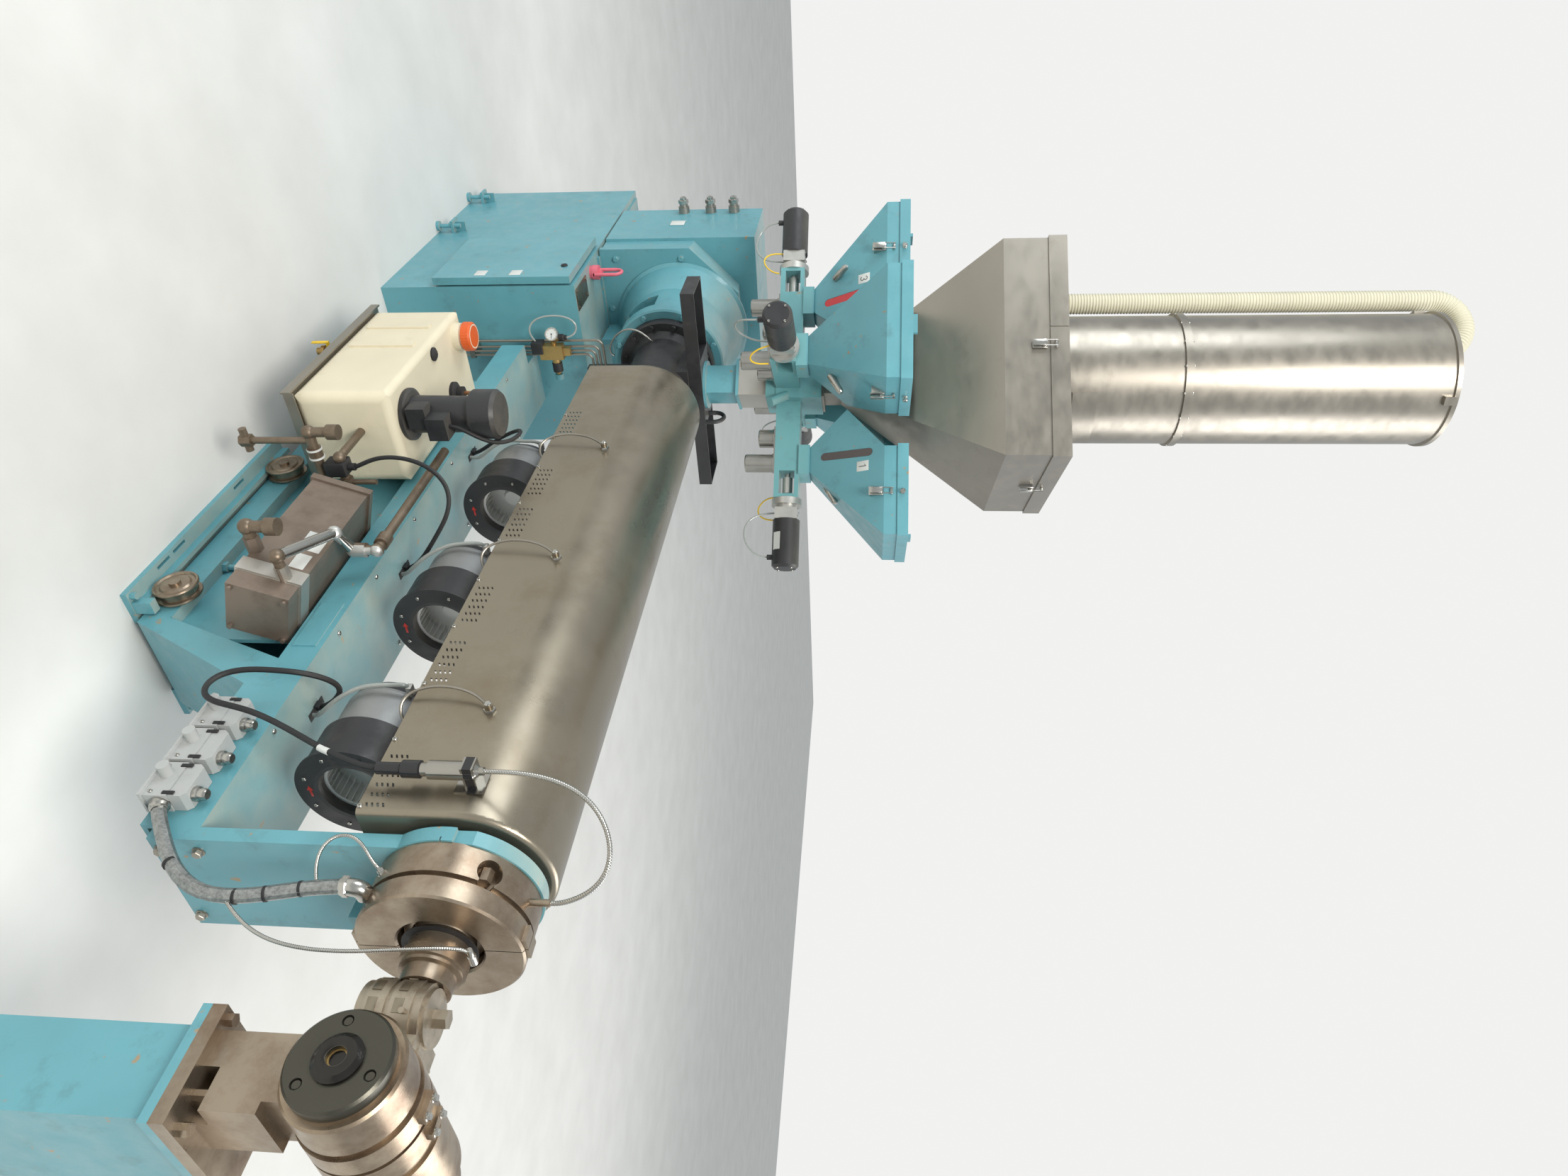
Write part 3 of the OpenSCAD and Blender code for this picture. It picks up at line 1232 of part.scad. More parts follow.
module valve_manifold() {
    color([0.6, 0.5, 0.3]) place() {
        x0 = tube_x + tube_r;
        bx([x0, -124, 568], [x0 + 34, -72, 652]);
        bx([x0 + 4, -112, 651], [x0 + 26, -84, 676]);
        cy(x0 + 17, -73, -52, 620, 15, 32);
        cy(x0 + 17, -53, -22, 620, 17, 32);
        cy(x0 + 17, -23, -10, 620, 8, 24);
        cy(x0 + 17, -11, 8, 620, 14, 8);
        cy(x0 + 17, -138, -123, 620, 9, 24);
        translate([x0 + 8, -150, 622]) rotate([0, 90, -40]) cylinder(h = 26, r = 23);
        bx([x0 + 2, -134, 546], [x0 + 38, -96, 580]);
    }
}

module junction_box() {
    color([0.72, 0.73, 0.72]) place() {
        z0 = deck_h - 112;
        y1 = -deck_hw;
        for (x = [-332, -240, -148]) {
            bx([x, y1 - 44, z0 - 8], [x + 84, y1, z0 + 40]);
            side_plate([[x + 2, z0 + 42], [x + 82, z0 + 42], [x + 82, z0 + 66], [x + 74, z0 + 76],
                [x + 10, z0 + 76], [x + 2, z0 + 66]], y1 - 42, y1 - 1);
            bx([x + 3, y1 - 41, z0 + 39], [x + 81, y1 - 2, z0 + 43]);
            cy(x + 30, y1 - 70, y1 - 43, z0 + 14, 12, 24);
        }
        bx([-336, y1 - 50, z0 - 12], [-60, y1, z0 - 7]);
    }
}

module pressure_sensor() {
    color([0.7, 0.69, 0.66]) place() {
        y = -cover_r - 36;
        z = axis_h + 44;
        bx([-146, -cover_r - 3, z - 50], [-96, -cover_r, z + 6]);
        bx([-136, y - 20, z - 30], [-104, -cover_r - 2, z - 6]);
        translate([-120, y, 0]) rotate_extrude()
            polygon([[0, z - 196], [12, z - 196], [12, z - 150], [17, z - 146], [17, z - 112],
                [13, z - 110], [13, z - 98], [18, z - 96], [18, z - 8], [12, z - 4], [8, z], [8, z + 8],
                [0, z + 8]]);
    }
}

module sensor_leads() {
    color([0.66, 0.65, 0.62]) place() {
        translate([0, 0, axis_h - 1000]) sweep(probe_route, 5);
        for (x = thermo_x) {
            translate([x, 0, axis_h - 6]) sweep(thermo_route, lead_r);
        }
    }
}

base_frame();
floor_rails();
travel_wheels();
base_cabinet();
cabinet_door();
gearbox();
gearbox_cover();
drive_motor();
lifting_eye();
feed_housing();
feed_throat();
slide_tray();
barrel();
barrel_cover();
fan_housings();
fan_motors();
fan_baskets();
front_support();
head_flange();
clamp_ring();
adapter_neck();
valve_block();
die_body();
die_seat();
die_pedestal();
main_hopper();
hopper_lid();
loader_cylinder();
loader_top();
loader_hose();
dosing_frame();
dosing_hoppers();
dosing_lids();
dosing_motors();
dosing_gearheads();
sample_cups();
water_tank();
tank_tray();
tank_pump();
heat_exchanger();
water_pipes();
tube_bundle();
valve_manifold();
junction_box();
pressure_sensor();
sensor_leads();
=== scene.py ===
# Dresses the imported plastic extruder: camera, light, materials and fine pieces around the CAD frame.
import bpy
import bmesh
import math
from mathutils import Matrix, Vector


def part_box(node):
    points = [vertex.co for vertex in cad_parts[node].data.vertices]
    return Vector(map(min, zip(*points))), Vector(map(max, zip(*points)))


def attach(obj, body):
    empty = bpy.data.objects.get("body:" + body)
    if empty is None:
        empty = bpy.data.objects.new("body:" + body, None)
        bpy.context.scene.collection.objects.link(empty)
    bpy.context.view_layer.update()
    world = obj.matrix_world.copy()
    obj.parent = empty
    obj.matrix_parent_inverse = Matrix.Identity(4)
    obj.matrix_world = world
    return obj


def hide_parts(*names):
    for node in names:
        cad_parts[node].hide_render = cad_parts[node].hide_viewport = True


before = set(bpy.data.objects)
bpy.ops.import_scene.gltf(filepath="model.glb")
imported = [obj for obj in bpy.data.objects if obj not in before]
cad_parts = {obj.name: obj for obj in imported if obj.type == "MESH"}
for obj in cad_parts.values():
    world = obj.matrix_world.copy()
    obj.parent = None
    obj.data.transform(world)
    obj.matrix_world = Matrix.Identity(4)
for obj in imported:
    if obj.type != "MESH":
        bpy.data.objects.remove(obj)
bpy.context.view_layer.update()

MID_X = 1.400           # the machine's own x = 0, the front face of the support plate, in the row frame
LOW, HIGH = 0, 1


def edge(node, axis, end):
    """Where a CAD node starts or ends along x, y or z, in the machine's own metres."""
    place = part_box(node)[end]["xyz".index(axis)]
    return round(place - MID_X, 4) if axis == "x" else round(place, 4)


# Driving places, in the machine's own metres: x grows towards the die and y is 0 at the barrel axis
AXIS_Z = 1.000                                      # barrel axis above the floor
DECK_Z = edge("base_frame", "z", HIGH)
BAND_X = edge("front_support", "x", HIGH)           # face of the support's raised band
COVER_Y = edge("barrel_cover", "y", HIGH)           # half the cover's width
THERMO_X = (-1.375, -0.840, -0.313)                 # thermocouples in the cover's near side
THERMO_Z = 0.994
FAN_X = [edge("fan_housings", "x", HIGH) - 0.536 * k for k in range(3)]     # the three fan mouths
FAN_Z = (edge("fan_motors", "z", LOW) + edge("fan_motors", "z", HIGH)) / 2
CONDUIT_X = [x - 0.213 for x in FAN_X]              # where a conduit leaves its fan motor
OUTLETS = ((-0.449, -0.032), (-0.977, -0.032), (-1.553, -0.052))            # cable slots in the deck
HOOD_X = (-0.332, -0.240, -0.148)                   # left ends of the junction box's hoods
FLANGE_X = edge("gearbox", "x", HIGH)
GEAR_Y = edge("gearbox", "y", LOW)
DOOR_Y = edge("cabinet_door", "y", LOW)
TANK_Z = edge("tank_pump", "z", LOW)                # top of the tank, under its pump
LID_Z = edge("hopper_lid", "z", HIGH)
LOADER_Z = edge("loader_cylinder", "z", HIGH)
SIDES = (-1, 1)
ALONG, UP, DOWN, NEAR = (1, 0, 0), (0, 0, 1), (0, 0, -1), (0, -1, 0)


def shift(x, y, z):
    return Matrix.Translation((x, y, z))


def turn(degrees, axis="Z"):
    return Matrix.Rotation(math.radians(degrees), 4, axis)


# Places that pieces are built in: the whole machine, the turned feed station, the valve manifold and
# its gauge, and the tilted heat exchanger
ROW = shift(MID_X, 0, 0)
STATION = ROW @ shift(-2.132, 0, 0) @ turn(41.3)
MANIFOLD = shift(MID_X - 2.2175, 0, 0)
GAUGE = MANIFOLD @ shift(0.008, -0.150, 0.622) @ turn(-40) @ turn(90, "Y")
EXCHANGER = ROW @ shift(0, -0.198, 0.375) @ turn(-20, "X")

# Camera, solved from the photograph, which is turned a quarter round
YAW, PITCH, ROLL = (math.radians(a) for a in (52.63, 5.0, 0.85))
EYE = (1.1158, -1.5858, 1.76)
SENSOR_WIDTH, LENS = 36.0, 23.38


def make_camera():
    """Looks along YAW and PITCH, rolled a little, with the picture's long side upright."""
    flat = Vector((-math.sin(YAW), math.cos(YAW), 0))
    side = Vector((math.cos(YAW), math.sin(YAW), 0))
    ahead = math.cos(PITCH) * flat - math.sin(PITCH) * Vector((0, 0, 1))
    up = math.sin(PITCH) * flat + math.cos(PITCH) * Vector((0, 0, 1))
    right = math.cos(ROLL) * side + math.sin(ROLL) * up
    over = -math.sin(ROLL) * side + math.cos(ROLL) * up
    data = bpy.data.cameras.new("camera")
    data.sensor_fit = "HORIZONTAL"
    data.sensor_width = SENSOR_WIDTH
    data.lens = LENS
    data.clip_start = 0.05
    data.clip_end = 60
    cam = bpy.data.objects.new("camera", data)
    bpy.context.scene.collection.objects.link(cam)
    pose = Matrix((over, -right, -ahead)).transposed().to_4x4()
    pose.translation = Vector((EYE[0] + MID_X, EYE[1], EYE[2]))
    cam.matrix_world = pose
    bpy.context.scene.camera = cam


make_camera()

# Materials
MATERIALS = {}
TEAL = (94, 153, 163)
DIRT_FADE = 0.28        # how softly dirt sets in, in noise levels
SPOT_EDGE = 0.05        # the same for small spots


def srgb(r, g, b):
    """A colour as seen on screen, 0 to 255, as linear light."""
    def one(c):
        c = c / 255.0
        return c / 12.92 if c <= 0.04045 else ((c + 0.055) / 1.055) ** 2.4
    return (one(r), one(g), one(b), 1.0)


class Nodes:
    """Small helper that builds one node tree."""

    def __init__(self, name):
        self.mat = bpy.data.materials.new(name)
        self.mat.use_nodes = True
        self.tree = self.mat.node_tree
        self.tree.nodes.clear()
        out = self.tree.nodes.new("ShaderNodeOutputMaterial")
        self.bsdf = self.tree.nodes.new("ShaderNodeBsdfPrincipled")
        self.link(self.bsdf.outputs[0], out.inputs[0])
        self.coord = self.tree.nodes.new("ShaderNodeTexCoord").outputs["Object"]

    def node(self, kind, **values):
        n = self.tree.nodes.new(kind)
        for key, value in values.items():
            setattr(n, key, value)
        return n

    def link(self, a, b):
        self.tree.links.new(a, b)

    def feed(self, socket, value):
        """Sets a socket to a value, or links it to another socket."""
        if isinstance(value, (int, float, tuple)):
            socket.default_value = value
        else:
            self.link(value, socket)

    def noise(self, scale, detail, stretch=None, rough=0.55):
        n = self.node("ShaderNodeTexNoise")
        n.inputs["Scale"].default_value = scale
        n.inputs["Detail"].default_value = detail
        n.inputs["Roughness"].default_value = rough
        place = self.coord
        if stretch:
            m = self.node("ShaderNodeMapping")
            m.inputs["Scale"].default_value = stretch
            self.link(place, m.inputs["Vector"])
            place = m.outputs[0]
        self.link(place, n.inputs["Vector"])
        return n.outputs["Fac"]

    def ramp(self, fac, stops):
        r = self.node("ShaderNodeValToRGB")
        for e, (pos, col) in zip(r.color_ramp.elements, stops):
            e.position = pos
            e.color = col
        self.link(fac, r.inputs[0])
        return r.outputs[0]

    def level(self, fac, lo, hi, a=0.0, b=1.0):
        m = self.node("ShaderNodeMapRange")
        m.inputs["From Min"].default_value = lo
        m.inputs["From Max"].default_value = hi
        m.inputs["To Min"].default_value = a
        m.inputs["To Max"].default_value = b
        self.link(fac, m.inputs["Value"])
        return m.outputs[0]

    def mix(self, fac, a, b):
        m = self.node("ShaderNodeMix", data_type="RGBA")
        self.link(fac, m.inputs[0])
        self.feed(m.inputs[6], a)
        self.feed(m.inputs[7], b)
        return m.outputs[2]

    def operate(self, operation, a, b):
        m = self.node("ShaderNodeMath", operation=operation)
        self.feed(m.inputs[0], a)
        self.feed(m.inputs[1], b)
        return m.outputs[0]

    def facing_up(self):
        g = self.node("ShaderNodeNewGeometry")
        s = self.node("ShaderNodeSeparateXYZ")
        self.link(g.outputs["Normal"], s.inputs[0])
        return self.level(s.outputs["Z"], 0.35, 0.95)

    def bump(self, fac, depth):
        b = self.node("ShaderNodeBump")
        b.inputs["Strength"].default_value = 0.6
        b.inputs["Distance"].default_value = depth
        self.link(fac, b.inputs["Height"])
        self.link(b.outputs[0], self.bsdf.inputs["Normal"])

    def stretches(self, axis, ranges):
        """A mask that is 1 within ranges along x, y or z (row frame, metres)."""
        s = self.node("ShaderNodeSeparateXYZ")
        self.link(self.coord, s.inputs[0])
        along = s.outputs["XYZ".index(axis)]
        mask = None
        for lo, hi in ranges:
            above = self.operate("GREATER_THAN", along, lo)
            one = self.operate("MULTIPLY", above, self.operate("LESS_THAN", along, hi))
            mask = one if mask is None else self.operate("MAXIMUM", mask, one)
        return mask


def finish(name, rgb, spread=0.12, rough=(0.35, 0.6), metal=0.0, dirt=None, dust=None, patch=6.0,
           grain=220.0, depth=0.0004, coat=0.0, stretch=None, spots=None, part=None):
    """A general finish: tone patches, dirt in noise, dust on level faces and grain in bump.

    dirt is (colour, noise level, amount), dust is (colour, amount), spots is (colour, scale, noise level),
    and part is (axis, ranges, colour, metal) for stretches with a colour and metal of their own.
    """
    n = Nodes(name)
    base = srgb(*rgb)[:3]
    low = tuple(c * (1 - spread) for c in base) + (1,)
    high = tuple(min(1, c * (1 + spread)) for c in base) + (1,)
    color = n.ramp(n.noise(patch, 4, stretch), [(0.3, low), (0.7, high)])
    if dirt:
        tone, start, amount = dirt
        clouds = n.noise(patch * 2.3, 8, stretch, 0.7)
        color = n.mix(n.level(clouds, start, start + DIRT_FADE, 0, amount), color, srgb(*tone))
    if spots:
        tone, scale, start = spots
        color = n.mix(n.level(n.noise(scale, 2), start, start + SPOT_EDGE), color, srgb(*tone))
    if dust:
        tone, amount = dust
        lying = n.level(n.noise(9, 6), 0.3, 0.7, amount * 0.4, amount)
        color = n.mix(n.operate("MULTIPLY", n.facing_up(), lying), color, srgb(*tone))
    if part:
        axis, ranges, tone, part_metal = part
        mask = n.stretches(axis, ranges)
        color = n.mix(mask, color, srgb(*tone))
        n.link(n.level(mask, 0, 1, metal, part_metal), n.bsdf.inputs["Metallic"])
    else:
        n.bsdf.inputs["Metallic"].default_value = metal
    n.link(color, n.bsdf.inputs["Base Color"])
    n.link(n.level(n.noise(patch * 4, 5, stretch), 0.3, 0.7, *rough), n.bsdf.inputs["Roughness"])
    n.bsdf.inputs["Coat Weight"].default_value = coat
    n.bump(n.noise(grain, 2, stretch), depth)
    MATERIALS[name] = n.mat


def teal(name, rgb=TEAL, part=None):
    """The machine's paint, with grease, dust on top and a few chips."""
    finish(name, rgb, 0.07, (0.3, 0.52), dirt=((70, 84, 82), 0.56, 0.55), dust=((166, 172, 159), 0.75),
           patch=5, depth=0.0003, coat=0.12, spots=((150, 132, 104), 34, 0.70), part=part)


def make_paints():
    """Painted metal. The dosing frame's outlet box and the gear unit's near bosses are bare."""
    teal("teal")
    teal("dosing", (104, 158, 162), ("Z", [(1.288, 1.384)], (184, 181, 174), 0.85))
    teal("gearcase", part=("Y", [(-0.40, -0.3073)], (156, 150, 142), 0.9))
    finish("pink", (214, 104, 120), 0.08, (0.35, 0.55), dirt=((150, 80, 84), 0.6, 0.5))
    finish("black", (42, 42, 44), 0.25, (0.35, 0.6), dirt=((88, 82, 74), 0.58, 0.6),
           dust=((112, 107, 98), 0.55))
    finish("orange", (214, 92, 34), 0.06, (0.35, 0.5), dirt=((150, 70, 34), 0.6, 0.5))
    finish("red", (196, 44, 36), 0.06, (0.35, 0.5), dirt=((130, 40, 34), 0.6, 0.5))
    finish("yellow", (226, 188, 40), 0.06, (0.35, 0.5), dirt=((160, 130, 40), 0.6, 0.5))


def make_metals():
    """Bare metal. Some nodes have stretches of their own: the fan motors' dark ends, the probe's black
    plug and ring, a new stub in the old pipes, the die's dark front and a bright band on the exchanger."""
    finish("sheet", (150, 141, 125), 0.10, (0.24, 0.42), 0.88, dirt=((118, 100, 74), 0.50, 0.55), patch=1.6,
           grain=320, depth=0.0001)
    finish("steel", (152, 146, 136), 0.09, (0.28, 0.44), 0.88, dirt=((108, 100, 86), 0.58, 0.55), patch=3,
           grain=320, depth=0.0001, stretch=(1, 1, 2))
    finish("fanmotor", (150, 151, 150), 0.06, (0.4, 0.55), 0.55, dirt=((110, 108, 102), 0.54, 0.5),
           part=("X", [(MID_X + x - 0.300, MID_X + x - 0.214) for x in FAN_X], (58, 58, 60), 0.2))
    finish("sensor", (158, 155, 148), 0.02, (0.16, 0.2), 0.92, patch=2, depth=0.00002,
           part=("Z", [(0.80, 0.934), (1.018, 1.035)], (36, 36, 38), 0.1))
    finish("valve", (160, 150, 134), 0.15, (0.3, 0.5), 0.8, dirt=((104, 78, 54), 0.53, 0.6), patch=12)
    finish("iron", (122, 108, 92), 0.2, (0.35, 0.55), 0.65, dirt=((84, 62, 44), 0.46, 0.6),
           dust=((140, 130, 114), 0.3), patch=14, part=("X", [(0.5785, 0.6650)], (196, 196, 192), 0.75))
    finish("polished", (58, 56, 54), 0.12, (0.14, 0.26), 0.9, dirt=((34, 30, 28), 0.56, 0.5))
    finish("bright", (178, 176, 170), 0.05, (0.18, 0.28), 0.95, depth=0.0001)
    finish("worn", (156, 143, 126), 0.22, (0.24, 0.42), 0.88, dirt=((106, 80, 60), 0.42, 0.7), patch=4,
           depth=0.00015)
    finish("die", (160, 144, 124), 0.22, (0.24, 0.42), 0.88, dirt=((98, 72, 52), 0.43, 0.75), patch=5,
           depth=0.00015, part=("Y", [(-0.30, -0.160)], (78, 76, 68), 0.8))
    finish("alloy", (188, 187, 182), 0.05, (0.3, 0.45), 0.7, dirt=((130, 126, 118), 0.55, 0.4))
    # Nearly white and barely metallic: painted light that brightens the fan wheels inside their shaded black
    # housings
    finish("wheel", (242, 242, 238), 0.03, (0.3, 0.45), 0.1, depth=0.0001)
    finish("plated", (128, 114, 102), 0.15, (0.35, 0.55), 0.55, dirt=((92, 76, 64), 0.48, 0.6),
           dust=((146, 136, 122), 0.5), patch=5, part=("X", [(0.729, 0.7735)], (186, 182, 174), 0.8))
    finish("braid", (156, 158, 156), 0.14, (0.3, 0.42), 0.8, dirt=((86, 88, 88), 0.44, 0.8), patch=60,
           grain=700, depth=0.0008)
    finish("copper", (150, 106, 74), 0.2, (0.3, 0.5), 0.7, dirt=((74, 60, 46), 0.54, 0.6))
    finish("brass", (180, 150, 96), 0.15, (0.3, 0.5), 0.8, dirt=((100, 80, 50), 0.56, 0.6))


def make_plastics():
    """Panes, hose, tank, rubber, blank labels and clear sleeves."""
    finish("redpane", (196, 30, 38), 0.05, (0.08, 0.14), coat=0.6)
    finish("darkpane", (66, 56, 54), 0.08, (0.08, 0.14), coat=0.6)
    finish("hose", (206, 202, 180), 0.05, (0.4, 0.6), dirt=((150, 140, 116), 0.6, 0.5))
    finish("tank", (218, 208, 182), 0.05, (0.4, 0.55), dirt=((170, 156, 124), 0.58, 0.5))
    finish("grey", (172, 174, 172), 0.05, (0.4, 0.6), dirt=((120, 118, 110), 0.6, 0.4))
    finish("rubber", (28, 28, 30), 0.2, (0.5, 0.7), dust=((90, 86, 80), 0.4))
    finish("label", (206, 208, 204), 0.04, (0.4, 0.55), dirt=((160, 156, 146), 0.6, 0.5))
    finish("clear", (150, 154, 150), 0.08, (0.2, 0.3), coat=0.3, dirt=((120, 122, 114), 0.55, 0.4))


# The finish of each CAD node, by its material slot or by its own name
SLOT_FINISH = {
    "teal_paint": "teal", "motor_paint": "teal", "pink_paint": "pink", "black_steel": "black",
    "black_motor": "black", "worn_steel": "worn", "cover_sheet": "sheet", "bright_steel": "steel",
    "die_steel": "die", "ribbed_hose": "hose", "tank_plastic": "tank", "copper_pipe": "copper",
    "brass_fitting": "brass", "grey_plastic": "grey",
}
OWN_FINISH = {
    "dosing_frame": "dosing", "gearbox": "gearcase", "fan_motors": "fanmotor", "pressure_sensor": "sensor",
    "valve_block": "valve", "water_pipes": "iron", "fan_baskets": "wheel", "sample_cups": "bright",
    "dosing_gearheads": "alloy", "heat_exchanger": "plated",
}


def dress_nodes():
    """Gives each CAD node its finish."""
    for name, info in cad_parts.items():
        for s in info.material_slots:
            slot = s.material.name.split(".")[0] if s.material else ""
            s.material = MATERIALS[OWN_FINISH.get(name, SLOT_FINISH.get(slot, "grey"))]


make_paints()
make_metals()
make_plastics()
dress_nodes()

# Forms
CREASE = 0.62           # edges that turn more than this (radians) stay sharp


def circle(centre, u, v, r, count):
    """Points round a centre in the plane of u and v."""
    turns = [2 * math.pi * k / count for k in range(count)]
    return [centre + (u * math.cos(t) + v * math.sin(t)) * r for t in turns]


class Piece:
    """One detail piece, built from small forms in metres of the place it is built in."""

    def __init__(self, name, material, body="frame", where=ROW, replaced=()):
        self.name = name
        self.material = material
        self.body = body
        self.where = where
        self.replaced = replaced
        self.bm = bmesh.new()

    def __enter__(self):
        return self

    def __exit__(self, kind, error, trace):
        if kind is None:
            self.make()

    def rings(self, rings):
        """A closed skin through rings with the same number of points, capped at both ends."""
        made = [[self.bm.verts.new(self.where @ Vector(p)) for p in ring] for ring in rings]
        count = len(made[0])
        for a, b in zip(made, made[1:]):
            for k in range(count):
                self.bm.faces.new((a[k], a[(k + 1) % count], b[(k + 1) % count], b[k]))
        self.bm.faces.new(list(reversed(made[0])))
        self.bm.faces.new(made[-1])

    def lathe(self, profile, base, axis, count=20):
        """profile is (radius, distance along the axis) pairs."""
        w = Vector(axis).normalized()
        u = w.orthogonal().normalized()
        v = w.cross(u)
        self.rings([circle(Vector(base) + w * h, u, v, max(r, 0.00005), count) for r, h in profile])

    def hexbolt(self, base, axis, flats, high):
        """A washer and a chamfered hexagon head."""
        r = flats * 0.577
        self.lathe([(r * 1.25, -0.0005), (r * 1.25, high * 0.16), (r * 1.1, high * 0.22)], base, axis)
        self.lathe([(r, high * 0.2), (r, high * 0.85), (r * 0.88, high)], base, axis, 6)

    def screw(self, base, axis, r, high):
        """A low domed head with a socket in it."""
        self.lathe([(r, -0.0005), (r, high * 0.55), (r * 0.82, high * 0.9), (r * 0.5, high),
                    (r * 0.42, high * 0.98), (r * 0.36, high * 0.45)], base, axis, 14)

    def block(self, lo, hi, bevel):
        """A box with rounded edges between two corners."""
        part = bmesh.new()
        bmesh.ops.create_cube(part, size=1)
        for v in part.verts:
            v.co = Vector([(a + b) / 2 + c * (b - a) for a, b, c in zip(lo, hi, v.co)])
        bmesh.ops.bevel(part, geom=part.edges[:], offset=bevel, segments=2, affect="EDGES", profile=0.5)
        copies = {v: self.bm.verts.new(self.where @ v.co) for v in part.verts}
        for f in part.faces:
            self.bm.faces.new([copies[v] for v in f.verts])
        part.free()

    def tube(self, points, r, count=10, ribs=(1.0,)):
        """A tube along points; ribs gives the radius factor of its rings in turn."""
        points = [Vector(p) for p in points]
        rings, ref = [], None
        for i, p in enumerate(points):
            ahead = (points[min(i + 1, len(points) - 1)] - points[max(i - 1, 0)]).normalized()
            ref = ahead.orthogonal() if ref is None else ref - ahead * ref.dot(ahead)
            ref.normalize()
            rings.append(circle(p, ref, ahead.cross(ref), r * ribs[i % len(ribs)], count))
        self.rings(rings)

    def make(self):
        bmesh.ops.recalc_face_normals(self.bm, faces=self.bm.faces[:])
        for f in self.bm.faces:
            f.smooth = True
        for e in self.bm.edges:
            e.smooth = not (len(e.link_faces) == 2 and e.calc_face_angle(0) > CREASE)
        mesh = bpy.data.meshes.new(self.name)
        self.bm.to_mesh(mesh)
        self.bm.free()
        mesh.materials.append(MATERIALS[self.material])
        o = bpy.data.objects.new(self.name, mesh)
        bpy.context.scene.collection.objects.link(o)
        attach(o, self.body)
        if self.replaced:
            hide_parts(*self.replaced)
        self.made = o


def smooth_path(points, step):
    """A rounded curve through points, as a list of points about step apart."""
    p = [Vector(q) for q in points]
    p = [2 * p[0] - p[1]] + p + [2 * p[-1] - p[-2]]
    fine = []
    for i in range(1, len(p) - 2):
        a, b, c, d = p[i - 1:i + 3]
        for k in range(12):
            t = k / 12
            fine.append(0.5 * (2 * b + (c - a) * t + (2 * a - 5 * b + 4 * c - d) * t * t
                               + (3 * b - a - 3 * c + d) * t ** 3))
    fine.append(p[-2])
    for _ in range(90):
        fine[1:-1] = [(a + 2 * b + c) / 4 for a, b, c in zip(fine, fine[1:], fine[2:])]
    total = sum((b - a).length for a, b in zip(fine, fine[1:]))
    count = max(2, round(total / step))
    out, gone, i = [fine[0]], 0.0, 0
    for k in range(1, count):
        goal = k * total / count
        while gone + (fine[i + 1] - fine[i]).length < goal:
            gone += (fine[i + 1] - fine[i]).length
            i += 1
        way = fine[i + 1] - fine[i]
        out.append(fine[i] + way * ((goal - gone) / way.length))
    return out + [fine[-1]]


def lead(name, points, r, material, ribbed=0.0, replaced=(), where=ROW):
    """A cord between two things, as a mesh tube; ribbed is the pitch of an armoured hose."""
    path = smooth_path(points, ribbed / 4 if ribbed else max(0.008, r * 1.5))
    with Piece(name, material, where=where, replaced=replaced) as p:
        if ribbed:
            p.tube(path, r, 12, (1.0, 1.0, 0.86, 0.86))
        else:
            p.tube(path, r)
    path = [where @ q for q in path]


# Cords that stand for a CAD node: the probe's loop to the head, and the cover's three thermocouples.
# Their points are in millimetres, from the probe's top or from the axis beside a thermocouple.
PROBE_TOP = (-0.120, -0.207, 1.052)
PROBE_LOOP = [(0, 0, 0), (0, 0, 33), (1, 1, 73), (7, 4, 118), (18, 11, 160), (34, 23, 196), (56, 41, 224),
              (82, 65, 242), (108, 93, 248), (130, 121, 238), (144, 143, 216), (151, 159, 188),
              (154, 170, 162), (155, 173, 146), (155, 173, 134.2)]
THERMO_LOOP = [(-6.5, -182, -6.5), (-12, -182.5, -12), (-22, -185, -24), (-32, -189, -42), (-40, -192, -66),
               (-45, -193, -92), (-47, -193, -118), (-45, -190, -144), (-39, -186, -167), (-28, -180, -185),
               (-12, -170, -193), (4, -154, -190), (17, -135, -174), (26, -118, -144), (31, -100.4, -94.4),
               (33, -89.1, -83.1), (33, -79.3, -73.3)]


def offset(start, loop):
    """A route in metres from a start and a loop in millimetres."""
    return [tuple(s + c / 1000 for s, c in zip(start, p)) for p in loop]


def run_sensor_leads():
    lead("probe_lead", offset(PROBE_TOP, PROBE_LOOP), 0.005, "bright", ribbed=0.0048,
         replaced=["sensor_leads"])
    for i, x in enumerate(THERMO_X):
        lead("thermo_lead_%d" % (i + 1), offset((x, 0, THERMO_Z), THERMO_LOOP), 0.0032, "steel",
             replaced=["sensor_leads"])


# Barrel, fans and base
def dress_cover():
    """Screws along the lower edge, and a nut and a gland at each thermocouple."""
    with Piece("cover_screws", "bright") as p:
        for x in (-1.581, -1.441, -1.276, -1.09, -0.916, -0.75, -0.576, -0.389, -0.228, -0.059):
            for s in SIDES:
                p.screw((x, s * COVER_Y, 0.829), (0, s, 0), 0.0052, 0.0036)
    with Piece("thermo_nuts", "bright") as p:
        for x in THERMO_X:
            p.lathe([(0.013, 0), (0.013, 0.006), (0.0115, 0.008)], (x, 0.0002 - COVER_Y, THERMO_Z), NEAR, 6)
            p.lathe([(0.0075, 0), (0.0075, 0.004), (0.005, 0.006)], (x, -0.0178 - COVER_Y, THERMO_Z),
                    NEAR, 16)


